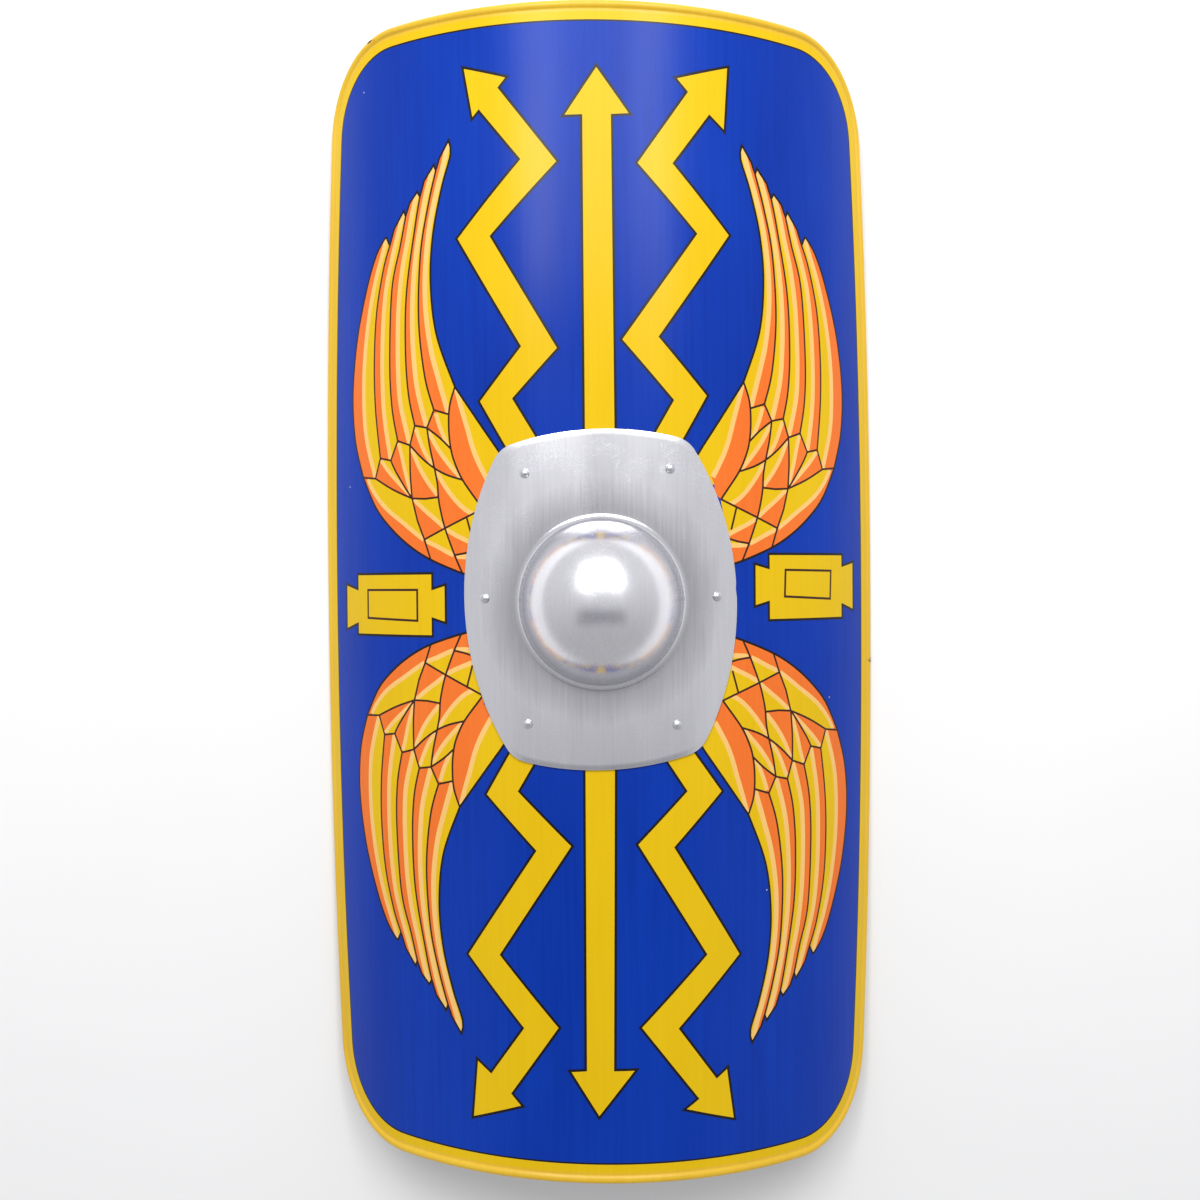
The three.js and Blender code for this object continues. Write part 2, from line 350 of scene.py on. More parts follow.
@dataclass(frozen=True)
class Border:
    """The yellow band along the edge, with a thin dark line inside it."""

    band: float = 18.0
    line: float = 1.6

    def paint(self, design: Design, board: Barrel) -> None:
        """Adds the band as everything outside the line, and the line itself."""
        design.patches.append(Patch(board.outline(), Ink.YELLOW))
        design.patches.append(Patch(board.outline(self.band), Ink.BLUE))
        middle = board.outline(self.band + self.line / 2)
        design.strokes.append(Stroke(middle, self.line, Ink.BLACK, True))


@dataclass(frozen=True)
class Arrow:
    """An arrow on the middle line, from under the boss towards one end of the board."""

    tip: Point
    head: tuple[Point, Point]
    neck: tuple[Point, Point]
    foot: tuple[Point, Point]
    line: float = 2.4

    def paint(self, design: Design) -> None:
        """Adds the arrow as one outlined shape."""
        outline = [
            self.tip,
            self.head[0],
            self.neck[0],
            self.foot[0],
            self.foot[1],
            self.neck[1],
            self.head[1],
        ]
        design.shape(outline, Ink.YELLOW, self.line)


@dataclass(frozen=True)
class Bolt:
    """A thunderbolt in zigzags: its tip, then the corners of each side down to the boss."""

    tip: Point
    outer_side: tuple[Point, ...]
    inner_side: tuple[Point, ...]
    line: float = 2.4

    def paint(self, design: Design) -> None:
        """Adds the bolt as one outlined shape."""
        outline = [self.tip, *self.outer_side, *reversed(self.inner_side)]
        design.shape(outline, Ink.YELLOW, self.line)


@dataclass(frozen=True)
class Tablet:
    """A name tablet with a flared ear at each end, left blank, with a line round its field."""

    left: float
    right: float
    low: float
    high: float
    ears: tuple[tuple[float, float, float, float, float], ...]
    panel: tuple[Point, ...]
    line: float = 2.4
    panel_line: float = 2.2

    def paint(self, design: Design) -> None:
        """Adds the tablet as one outlined shape, and the line of its field.

        An ear is (outer u, outer low, outer high, root low, root high).
        """
        (lu, ll, lh, lrl, lrh), (ru, rl, rh, rrl, rrh) = self.ears
        outline = [
            (self.right, self.high),
            (self.left, self.high),
            (self.left, lrh),
            (lu, lh),
            (lu, ll),
            (self.left, lrl),
            (self.left, self.low),
            (self.right, self.low),
            (self.right, rrl),
            (ru, rl),
            (ru, rh),
            (self.right, rrh),
        ]
        design.shape(outline, Ink.YELLOW, self.line)
        field_ring = densify([*self.panel, self.panel[0]])[:-1]
        design.strokes.append(Stroke(field_ring, self.panel_line, Ink.BROWN, True))


@dataclass(frozen=True)
class Wing:
    """One of the four wings: the same five feathers and three rows of scales.

    The lines are those of the upper left wing. The other three are its mirror
    images, stretched and shifted a little, as they were painted by hand.
    """

    mirror: tuple[int, int] = (1, 1)
    stretch: Point = (1.0, 1.0)
    lean: Point = (0.0, 0.0)
    shift: Point = (0.0, 0.0)
    outline_width: float = 2.2
    line_width: float = 1.9
    feather_glint: float = 5.2
    broad_glint: float = 4.6
    scale_glint: float = 4.2

    # Where each feather's foot comes lowest, and the notch between two feet.
    feet = ((-247, 116), (-229, 114), (-208, 130), (-184, 143), (-164, 158), (-140, 169))
    notches = ((-222, 133), (-199, 148), (-178, 161), (-156, 174))
    # Each feather's tip, and the shoulder on its outer side.
    tips = ((-210, 341), (-188, 363), (-172, 378), (-153, 400), (-137, 420))
    shoulders = ((-217, 335), (-200, 348), (-181, 369), (-164, 387), (-147, 405))

    outer_edge = (
        (-212, 341), (-224, 327), (-238, 298), (-254, 250), (-262, 198), (-259, 153), (-247, 116),
    )
    belly = (
        (-247, 116), (-229, 86), (-208, 65), (-185, 48), (-161, 35), (-127, 22), (-108, 17),
    )
    inner_edge = (
        (-137, 420), (-135, 407), (-145, 377), (-155, 335), (-158, 291), (-152, 243), (-133, 194),
    )
    inner_fall = ((-133, 194), (-89, 132), (-79, 117))
    dividers = (
        ((-206, 333), (-215, 311), (-225, 271), (-229, 225), (-228, 180), (-222, 133)),
        ((-186, 357), (-193, 330), (-204, 291), (-208, 225), (-206, 181), (-199, 148)),
        ((-169, 373), (-175, 346), (-186, 285), (-188, 230), (-185, 190), (-178, 161)),
        ((-151, 394), (-160, 363), (-169, 320), (-172, 260), (-166, 207), (-156, 174)),
    )
    spine = (
        (-133, 194), (-139, 176), (-140, 155), (-138, 137), (-134, 124), (-126, 108), (-112, 89),
    )
    crossing = (-106, 81)  # where the spine and the scales' third row meet, under the boss

    def place(self, path: Path) -> Path:
        """Returns a path of the pattern where this wing has it."""
        (mu, mv), (su, sv), (lu, lv), (du, dv) = self.mirror, self.stretch, self.lean, self.shift
        turned = [(mu * u, mv * v) for u, v in path]
        return [(su * u + lu * v + du, sv * v + lv * u + dv) for u, v in turned]

    def paint(self, design: Design) -> None:
        """Adds the wing's feathers, scales and lines."""
        lines: list[Path] = []
        self._paint_feathers(design, lines)
        self._paint_scales(design, lines)
        for line in lines:
            design.strokes.append(Stroke(densify(self.place(line)), self.line_width, Ink.BROWN))
        belly, outer = smooth(self.belly)[::-1], smooth(self.outer_edge)[::-1]
        inner = smooth(self.inner_edge)
        whole = [*belly[:-1], *outer[:-1], *self._crest()[:-1], *inner[:-1], *self.inner_fall]
        design.strokes.append(Stroke(densify(self.place(whole)), self.outline_width, Ink.BLACK))

    def _crest(self) -> Path:
        """Returns the line over the five tips, down into the clefts between them."""
        crest = [self.outer_edge[0], self.tips[0]]
        for i in range(4):
            crest += [self.dividers[i][0], self.shoulders[i + 1], self.tips[i + 1]]
        return crest

    def _fill(self, design: Design, outline: Path, stripe: Path, width: float) -> None:
        """Adds one feather or scale: orange outside the cream stripe, yellow inside it."""
        turned = self.mirror[0] * self.mirror[1] < 0
        design.patches.append(
            Patch(
                self.place(outline),
                Ink.YELLOW,
                densify(self.place(stripe)),
                width,
                orange_left=not turned,
            )
        )

    def _paint_feathers(self, design: Design, lines: list[Path]) -> None:
        """Adds the five long feathers and the broad one inside them."""
        dividers = [smooth(d) for d in self.dividers]
        spine = smooth(self.spine)
        inner = smooth(self.inner_edge)
        lefts = [smooth(self.outer_edge)[::-1]]
        lefts += [d[::-1] + [self.shoulders[i + 1]] for i, d in enumerate(dividers)]
        rights = [d[::-1] for d in dividers]
        heel = spine[: spine.index(min(spine, key=lambda p: math.dist(p, self.feet[5]))) + 1]
        rights.append(heel[::-1] + inner[::-1][1:])
        for i, (left, right) in enumerate(zip(lefts, rights)):
            outline = [self.feet[i + 1], *left, self.tips[i], *right[::-1]]
            stripe = [self.feet[i + 1]]
            for share in (0.12, 0.25, 0.4, 0.55, 0.7, 0.83, 0.93):
                a, b = point_along(left, share), point_along(right, share)
                middle = lerp(0.5, 0.56, share)
                stripe.append((lerp(a[0], b[0], middle), lerp(a[1], b[1], middle)))
            stripe.append(self.tips[i])
            self._fill(design, outline, smooth(stripe), self.feather_glint)
        foot_line = [self.feet[0]]
        for foot, notch in zip(self.feet[1:], self.notches):
            foot_line += [foot, notch]
        lines += [*dividers, [*foot_line, self.feet[5]], spine + [self.crossing]]
        broad = [*self.inner_fall, self.crossing, *spine[::-1]]
        stripe = [(-98, 102), (-108, 120), (-115, 136), (-121, 156), (-127, 175), (-132, 193)]
        self._fill(design, broad, smooth(stripe), self.broad_glint)

    def _paint_scales(self, design: Design, lines: list[Path]) -> None:
        """Adds the rows of scales between the feathers' feet and the belly."""
        k0, k1, k2, k3, k4, k5 = self.feet
        n1, n2, n3, n4 = self.notches
        root, fork, joint, waist = (-182, 93), (-156, 120), (-152, 93), (-145, 64)
        hip, keel, knee, heel = (-168, 54), (-161, 35), (-135, 39), (-127, 22)
        side_high, side_low = (-138, 137), (-126, 108)
        rivet_side, boss_low = (-117, 76), (-108, 45)
        crossing = self.crossing
        ridge = smooth([k1, (-205, 102), root])
        split_1 = smooth([k2, (-203, 121), (-190, 103), root])
        split_2 = smooth([k3, (-184, 117), root])
        slope = smooth([k3, (-170, 130), fork, (-142, 113), side_low])
        split_3 = smooth([k4, (-161, 140), fork])
        fall = smooth([fork, (-153, 106), joint, (-150, 82), waist, knee, heel])
        split_4 = [root, (-176, 72), hip, keel]
        row_3 = [hip, waist, rivet_side, crossing]
        row_4 = smooth([knee, (-122, 41), boss_low])
        lines += [
            ridge, split_1, split_2, slope, split_3, fall, split_4, row_3, row_4,
            smooth([k4, (-150, 148), side_high]), [root, (-167, 92), joint], [(-122, 73), (-116, 52)],
        ]
        belly = smooth(self.belly)
        spine = smooth(self.spine)
        upper_spine = [p for p in spine if 137 <= p[1] <= 169]
        lower_spine = [p for p in spine if 108 <= p[1] <= 137]
        fall_to = {p: fall.index(p) for p in (joint, waist, knee)}
        keel_at = min(range(len(belly)), key=lambda i: math.dist(belly[i], keel))
        heel_at = min(range(len(belly)), key=lambda i: math.dist(belly[i], heel))
        half_slope = slope.index(fork)
        scales = [
            (
                [k1, n1, k2, *split_1, *ridge[::-1]],
                [(-185, 97), (-200, 110), (-212, 121), (-221, 131)],
            ),
            (
                [k2, n2, k3, *split_2, *split_1[::-1]],
                [(-183, 97), (-190, 118), (-194, 133), (-198, 146)],
            ),
            (
                [k3, n3, k4, *split_3, *slope[: half_slope + 1][::-1]],
                [(-158, 123), (-166, 134), (-172, 146), (-177, 158)],
            ),
            (
                [k4, n4, k5, *upper_spine, side_high],
                [(-141, 139), (-146, 150), (-150, 159), (-154, 171)],
            ),
            (
                [k0, k1, *ridge, *split_4, *belly[: keel_at + 1][::-1]],
                [
                    (-169, 54), (-181, 62), (-194, 71), (-208, 80), (-221, 90), (-233, 103), (-240, 114),
                ],
            ),
            (
                [*split_2, joint, *fall[: fall_to[joint]][::-1], *slope[: half_slope][::-1]],
                [(-153, 95), (-164, 108), (-174, 123), (-182, 140)],
            ),
            (
                [k4, side_high, *lower_spine, *slope[half_slope:][::-1], *split_3[::-1]],
                [(-128, 110), (-142, 125), (-153, 139), (-162, 154)],
            ),
            (
                [*fall[fall_to[joint] : fall_to[waist] + 1], hip, (-176, 72), root],
                [(-146, 65), (-156, 73), (-168, 82), (-180, 92)],
            ),
            (
                [
                    *slope[half_slope:], (-112, 89), crossing, rivet_side,
                    *fall[: fall_to[waist] + 1][::-1],
                ],
                [(-113, 75), (-124, 81), (-133, 89), (-144, 102), (-154, 117)],
            ),
            (
                [hip, *fall[fall_to[waist] :], *belly[keel_at : heel_at + 1][::-1]],
                [(-136, 39), (-143, 42), (-153, 47), (-167, 53)],
            ),
            (
                [*fall[fall_to[waist] : fall_to[knee] + 1], *row_4, crossing, rivet_side],
                [(-112, 47), (-122, 52), (-133, 57), (-144, 63)],
            ),
            ([*row_4, (-108, 17), heel], [(-108, 37), (-123, 37), (-135, 38)]),
        ]
        for outline, stripe in scales:
            self._fill(design, outline, smooth(stripe), self.scale_glint)


def legion_design(board: Barrel) -> Design:
    """Puts the whole painted design together.

    Args:
        board: The outline of the board.

    Returns:
        The design in the order of painting.
    """
    design = Design()
    Border().paint(design, board)
    arrows = [
        Arrow((3, 476), ((-28, 431), (34, 432)), ((-11, 431), (17, 431)), ((-11, 140), (18, 140))),
        Arrow(
            (-2, -474), ((33, -430), (-29, -431)), ((13, -430), (-14, -430)), ((16, -146), (-13, -146))
        ),
    ]
    bolts = [
        Bolt(
            (-122, 484),
            ((-113, 435), (-106, 442), (-68, 395), (-130, 329), (-69, 227), (-109, 179), (-76, 123)),
            ((-78, 470), (-86, 461), (-32, 391), (-95, 328), (-33, 224), (-75, 180), (-47, 134)),
        ),
        Bolt(
            (126, 482),
            ((122, 422), (107, 435), (73, 390), (127, 329), (59, 234), (104, 182), (73, 129)),
            ((74, 467), (85, 455), (38, 389), (93, 328), (23, 231), (70, 177), (46, 136)),
        ),
        Bolt(
            (-122, -482),
            (
                (-117, -426), (-103, -437), (-72, -394), (-126, -330),
                (-59, -231), (-106, -181), (-75, -129),
            ),
            (
                (-72, -466), (-82, -455), (-37, -392), (-92, -328),
                (-24, -226), (-73, -177), (-51, -140),
            ),
        ),
        Bolt(
            (126, -485),
            ((119, -435), (108, -443), (73, -395), (133, -332), (70, -229), (116, -180), (82, -133)),
            ((76, -470), (89, -461), (36, -392), (98, -329), (34, -225), (80, -178), (55, -140)),
        ),
    ]
    tablets = [
        Tablet(
            -258, -159.5, -36.5, 22.5,
            ((-277, -32, 13, -26, 8), (-145, -24, 12, -20, 8)),
            ((-242, 7), (-177, 7), (-177, -22), (-242, -20)),
        ),
        Tablet(
            165.5, 261.5, -24, 38,
            ((150, -11, 29, -7, 25), (280, -17, 31, -11, 27)),
            ((185, 23), (244, 22), (243, -5), (184, -2)),
        ),
    ]
    wings = [
        Wing(),
        Wing((-1, 1), (0.954, 0.958), (-0.018, -0.002), (16.3, 10.5)),
        Wing((1, -1), (0.976, 0.935), (-0.014, -0.061), (-5.2, -21.0)),
        Wing((-1, -1), (0.973, 0.941), (0.007, -0.023), (13.9, -18.1)),
    ]
    for motif in [*arrows, *bolts, *tablets, *wings]:
        motif.paint(design)
    return design


# ------------------------------------------------------------------ meshes


class MeshDraft:
    """Collects the points and faces of one mesh and then makes its object."""

    def __init__(self) -> None:
        """Starts with no points and no faces."""
        self.points: list[np.ndarray] = []
        self.count = 0
        self.faces: list[tuple[int, ...]] = []
        self.finishes: list[int] = []
        self.normals: list[np.ndarray] = []

    def add_points(self, points: np.ndarray) -> np.ndarray:
        """Adds points in millimetres.

        Args:
            points: Rows of (x, y, z).

        Returns:
            The number of each point.
        """
        self.points.append(np.asarray(points, float))
        start, self.count = self.count, self.count + len(points)
        return np.arange(start, self.count)

    def add_face(
        self, corners: tuple[int, ...], finish: int = 0, normals: np.ndarray | None = None
    ) -> None:
        """Adds one face, with a normal for each corner if they are given."""
        self.faces.append(tuple(int(c) for c in corners))
        self.finishes.append(int(finish))
        self.normals.append(np.zeros((len(corners), 3)) if normals is None else normals)

    def add_ring_strip(self, ring_a: np.ndarray, ring_b: np.ndarray, finish: int = 0) -> None:
        """Joins two closed rows with equal numbers of points by a strip of quads."""
        for i in range(len(ring_a)):
            j = (i + 1) % len(ring_a)
            self.add_face((ring_a[i], ring_b[i], ring_b[j], ring_a[j]), finish)

    def build(
        self, name: str, materials: list[bpy.types.Material], sharp_angle: float = 40.0
    ) -> bpy.types.Object:
        """Makes the object, in metres.

        Args:
            name: The piece's name.
            materials: The finishes that the faces' numbers stand for.
            sharp_angle: Edges that turn more than this, in degrees, are shaded sharp.

        Returns:
            The new object, in the scene.
        """
        mesh = bpy.data.meshes.new(name)
        points = np.concatenate(self.points) * MM
        mesh.from_pydata([tuple(p) for p in points], [], self.faces)
        for material in materials:
            mesh.materials.append(material)
        mesh.polygons.foreach_set("material_index", self.finishes)
        mesh.polygons.foreach_set("use_smooth", [True] * len(self.faces))
        mesh.set_sharp_from_angle(angle=math.radians(sharp_angle))
        if any(n.any() for n in self.normals):
            mesh.normals_split_custom_set([tuple(n) for rows in self.normals for n in rows])
        piece = bpy.data.objects.new(name, mesh)
        bpy.context.scene.collection.objects.link(piece)
        return piece


def cut_holes(piece: bpy.types.Object, cutters: list[bpy.types.Object]) -> None:
    """Cuts each cutter's shape out of the piece, and removes the cutters."""
    for cutter in cutters:
        cut = piece.modifiers.new("hole", "BOOLEAN")
        cut.object = cutter
        cut.operation = "DIFFERENCE"
        cut.solver = "EXACT"
    depsgraph = bpy.context.evaluated_depsgraph_get()
    cut_mesh = bpy.data.meshes.new_from_object(piece.evaluated_get(depsgraph))
    piece.modifiers.clear()
    old_mesh, name = piece.data, piece.data.name
    piece.data = cut_mesh
    bpy.data.meshes.remove(old_mesh)
    cut_mesh.name = name
    for cutter in cutters:
        mesh = cutter.data
        bpy.data.objects.remove(cutter)
        bpy.data.meshes.remove(mesh)


@dataclass(frozen=True)
class CurvedFace:
    """The painted face: part of a cylinder with slight ripples in the sheet."""

    radius: float
    crown_z: float
    board: Barrel
    boss_centre: Point
    boss_reach: Point
    ripple: float = 0.16
    slope_step: float = 0.5

    def ripple_at(self, u: np.ndarray, v: np.ndarray) -> np.ndarray:
        """Gives the sheet's unevenness, which fades out at the rim and round the boss.

        Args:
            u: Places round the curve.
            v: Places along the height.

        Returns:
            Heights over the even face.
        """
        waves = (
            np.sin(u / 47 + v / 230 + 0.4)
            + np.sin(v / 71 - u / 160 + 1.9)
            + 0.6 * np.sin(u / 23 + v / 41 + 2.6)
        )
        waist = self.board.half_u - self.board.side_bow * (v / self.board.half_v) ** 2
        rim = np.minimum(waist - np.abs(u), self.board.half_v - np.abs(v))
        bu = (u - self.boss_centre[0]) / self.boss_reach[0]
        bv = (v - self.boss_centre[1]) / self.boss_reach[1]
        clear = smoothstep(np.hypot(bu, bv), 1.15, 1.5)
        return self.ripple * waves * smoothstep(rim, 12, 60) * clear

    def place(self, u: Numbers, v: Numbers, h: float) -> np.ndarray:
        """Returns rows of (x, y, z) for places on the board."""
        u, v = np.asarray(u, float), np.asarray(v, float)
        angle = u / self.radius
        reach = self.radius + h + self.ripple_at(u, v)
        z = reach * np.cos(angle) - self.radius + self.crown_z
        return np.stack([reach * np.sin(angle), v + 0 * u, z], -1)

    def normal(self, u: Numbers, v: Numbers) -> np.ndarray:
        """Returns the direction out of the face at each place."""
        u, v = np.asarray(u, float), np.asarray(v, float)
        step = self.slope_step
        slope_u = (self.ripple_at(u + step, v) - self.ripple_at(u - step, v)) / (2 * step)
        slope_v = (self.ripple_at(u, v + step) - self.ripple_at(u, v - step)) / (2 * step)
        angle = u / self.radius
        out = np.stack([np.sin(angle), 0 * angle, np.cos(angle)], -1)
        across = np.stack([np.cos(angle), 0 * angle, -np.sin(angle)], -1)
        along = np.array([0.0, 1.0, 0.0])
        tilted = out - slope_u[..., None] * across - slope_v[..., None] * along
        return tilted / np.linalg.norm(tilted, axis=-1, keepdims=True)

    def standing(self, u: float, v: float) -> Matrix:
        """Returns the frame, in metres, whose Z axis points out of the face at a place."""
        out = Vector(self.normal(u, v))
        across = Vector((0, 1, 0)).cross(out).normalized()
        up = out.cross(across)
        turn = Matrix((across, up, out)).transposed().to_4x4()
        return Matrix.Translation(Vector(self.place(u, v, 0)) * MM) @ turn


# ------------------------------------------------------------------ shader nodes


class Graph:
    """Adds nodes to a node tree and joins them."""

    def __init__(self, tree: bpy.types.NodeTree) -> None:
        """Works on tree."""
        self.tree = tree

    def node(self, kind: str, inputs: dict | None = None, **settings: object) -> bpy.types.Node:
        """Adds a node.

        Args:
            kind: The node's type name, without the ShaderNode prefix.
            inputs: Sockets to set or to join, by name or number.
            **settings: Properties of the node.

        Returns:
            The new node.
        """
        node = self.tree.nodes.new(kind if kind.startswith("Node") else "ShaderNode" + kind)
        for name, value in settings.items():
            setattr(node, name, value)
        for key, value in (inputs or {}).items():
            if isinstance(value, Socket):
                self.tree.links.new(value, node.inputs[key])
            else:
                node.inputs[key].default_value = value
        return node

    def group(self, tree: bpy.types.NodeTree, place: Socket) -> bpy.types.Node:
        """Returns a placed node group that reads place."""
        return self.node("Group", {"Place": place}, node_tree=tree)

    def noise(
        self, vector: Socket, scale: float, detail: float = 2.0, rough: float = 0.5, warp: float = 0.0
    ) -> Socket:
        """Returns the value output of a noise texture."""
        shape = {"Scale": scale, "Detail": detail, "Roughness": rough, "Distortion": warp}
        return self.node("TexNoise", {"Vector": vector, **shape}).outputs["Fac"]

    def stretch(self, vector: Socket, scale: Triple, offset: Triple = (0.0, 0.0, 0.0)) -> Socket:
        """Returns the vector scaled by axis and shifted."""
        return self.node("Mapping", {"Vector": vector, "Scale": scale, "Location": offset}).outputs[0]

    def remap(
        self, value: Socket, low: float, high: float, to_low: float = 0.0, to_high: float = 1.0
    ) -> Socket:
        """Returns value with low to high brought to to_low to to_high, clamped."""
        inputs = {"Value": value, 1: low, 2: high, 3: to_low, 4: to_high}
        return self.node("MapRange", inputs).outputs[0]

    def maths(self, operation: str, a: Socket | float, b: Socket | float = 0.0) -> Socket:
        """Returns a two-value sum, product or the like."""
        return self.node("Math", {0: a, 1: b}, operation=operation).outputs[0]

    def vector(self, operation: str, a: Socket, b: Socket | None = None) -> bpy.types.Node:
        """Returns a vector maths node."""
        inputs = {0: a} if b is None else {0: a, 1: b}
        return self.node("VectorMath", inputs, operation=operation)

    def mix(self, share: Socket, a: Socket | tuple, b: Socket | tuple) -> Socket:
        """Returns a mix of two colours."""
        return self.node("Mix", {0: share, 6: a, 7: b}, data_type="RGBA").outputs[2]


def new_group(
    name: str, inputs: dict[str, tuple[str, object]], outputs: dict[str, str]
) -> tuple[Graph, bpy.types.Node, bpy.types.Node]:
    """Starts a shader node group.

    Args:
        name: The group's name.
        inputs: For each input, its socket type and its usual value.
        outputs: For each output, its socket type.

    Returns:
        The group's Graph, its input node and its output node.
    """
    tree = bpy.data.node_groups.new(name, "ShaderNodeTree")
    for label, (kind, value) in inputs.items():
        socket = tree.interface.new_socket(label, in_out="INPUT", socket_type=kind)
        if value is not None:
            socket.default_value = value
    for label, kind in outputs.items():
        tree.interface.new_socket(label, in_out="OUTPUT", socket_type=kind)
    graph = Graph(tree)
    return graph, graph.node("NodeGroupInput"), graph.node("NodeGroupOutput")


FLOAT = "NodeSocketFloat"
VECTOR = "NodeSocketVector"
COLOUR = "NodeSocketColor"


class Effects:
    """The node groups that several finishes share, each built once."""

    def __init__(self) -> None:
        """Builds every group."""
        self.brushed_film = self._brushed_film()
        self.specks = self._specks()
        self.scratches = self._scratches()
        self.chip = self._chip()

    @staticmethod
    def _brushed_film() -> bpy.types.NodeTree:
        """Builds the film: long streaks along Y over soft blotches."""
        graph, given, result = new_group(
            "brushed_film",
            {
                "Place": (VECTOR, None),
                "Streaks Across": (FLOAT, 260.0),
                "Streaks Along": (FLOAT, 6.0),
                "Blotches": (FLOAT, 9.0),
            },
            {"Tone": FLOAT, "Gloss": FLOAT, "Relief": FLOAT},
        )
        place = given.outputs["Place"]
        across, along = given.outputs["Streaks Across"], given.outputs["Streaks Along"]
        scale = graph.node("CombineXYZ", {0: across, 1: along, 2: across}).outputs[0]
        stretched = graph.vector("MULTIPLY", place, scale).outputs[0]
        streaks = graph.noise(stretched, 1.0, 4.0, 0.62)
        bend = graph.stretch(place, (1.0, 0.35, 1.0))
        blotches = graph.node(
            "TexNoise",
            {"Vector": bend, "Scale": given.outputs["Blotches"], "Detail": 3.0, "Roughness": 0.55},
        ).outputs["Fac"]
        fine, broad = graph.maths("MULTIPLY", streaks, 0.45), graph.maths("MULTIPLY", blotches, 0.55)
        both = graph.maths("ADD", fine, broad)
        tree = graph.tree
        tree.links.new(graph.remap(both, 0.3, 0.7), result.inputs["Tone"])
        tree.links.new(graph.remap(blotches, 0.25, 0.75), result.inputs["Gloss"])
        tree.links.new(streaks, result.inputs["Relief"])
        return tree

    @staticmethod
    def _specks() -> bpy.types.NodeTree:
        """Builds scattered specks of dust and pinholes."""
        graph, given, result = new_group(
            "specks",
            {
                "Place": (VECTOR, None),
                "Spacing": (FLOAT, 45.0),
                "Size": (FLOAT, 0.03),
                "Share": (FLOAT, 0.06),
            },
            {"Mask": FLOAT},
        )
        cells = graph.node(
            "TexVoronoi", {"Vector": given.outputs["Place"], "Scale": given.outputs["Spacing"]}
        )
        near = graph.maths("LESS_THAN", cells.outputs["Distance"], given.outputs["Size"])
        split = graph.node("SeparateXYZ", {0: cells.outputs["Color"]}).outputs[0]
        chosen = graph.maths("LESS_THAN", split, given.outputs["Share"])
        graph.tree.links.new(graph.maths("MULTIPLY", near, chosen), result.inputs["Mask"])
        return graph.tree

    @staticmethod
    def _scratches() -> bpy.types.NodeTree:
        """Builds fine scratches in all directions."""
        graph, given, result = new_group(
            "scratches",
            {"Place": (VECTOR, None), "Scale": (FLOAT, 30.0), "Share": (FLOAT, 0.5)},
            {"Mask": FLOAT},
        )
        place = given.outputs["Place"]
        total = None
        for turn, shift in ((0.3, 0.0), (1.4, 3.1), (2.6, 7.7)):
            turning = {"Rotation": (0.0, 0.0, turn), "Location": (shift, 0.0, 0.0)}
            turned = graph.node("Mapping", {"Vector": place, **turning}).outputs[0]
            thin = graph.stretch(turned, (1.0, 14.0, 1.0))
            wander = graph.node(
                "TexNoise",
                {"Vector": thin, "Scale": given.outputs["Scale"], "Detail": 1.0, "Distortion": 0.6},
            ).outputs["Fac"]
            away = graph.maths("ABSOLUTE", graph.maths("SUBTRACT", wander, 0.5))
            line = graph.remap(away, 0.0, 0.006, 1.0, 0.0)
            total = line if total is None else graph.maths("MAXIMUM", total, line)
        patches = graph.noise(place, 14.0, 2.0)
        kept = graph.maths("LESS_THAN", patches, given.outputs["Share"])
        graph.tree.links.new(graph.maths("MULTIPLY", total, kept), result.inputs["Mask"])
        return graph.tree

    @staticmethod
    def _chip() -> bpy.types.NodeTree:
        """Builds one ragged chip in the paint at a given centre."""
        graph, given, result = new_group(
            "paint_chip",
            {
                "Place": (VECTOR, None),
                "Centre": (VECTOR, (0.0, 0.0, 0.0)),
                "Reach": (VECTOR, (0.01, 0.01, 0.01)),
            },
            {"Mask": FLOAT},
        )
        place = given.outputs["Place"]
        ragged = graph.maths("SUBTRACT", graph.noise(place, 420.0, 3.0, 0.6), 0.5)
        offset = graph.vector("SUBTRACT", place, given.outputs["Centre"]).outputs[0]
        scaled = graph.vector("DIVIDE", offset, given.outputs["Reach"]).outputs[0]
        away = graph.vector("LENGTH", scaled).outputs["Value"]
        edge = graph.maths("ADD", away, graph.maths("MULTIPLY", ragged, 1.6))
        graph.tree.links.new(graph.remap(edge, 0.95, 1.05, 1.0, 0.0), result.inputs["Mask"])
        return graph.tree


class Finish:
    """A new material with its graph, its Principled BSDF and the object's places in metres."""

    def __init__(self, name: str) -> None:
        """Starts the material.

        Args:
            name: The material's name.
        """
        self.material = bpy.data.materials.new(name)
        self.material.use_nodes = True
        self.graph = Graph(self.material.node_tree)
        self.shader = self.material.node_tree.nodes["Principled BSDF"]
        self.place = self.graph.node("TexCoord").outputs["Object"]


@dataclass(frozen=True)
class Chip:
    """A place where the paint has gone, in metres."""

    centre: Triple
    reach: Triple


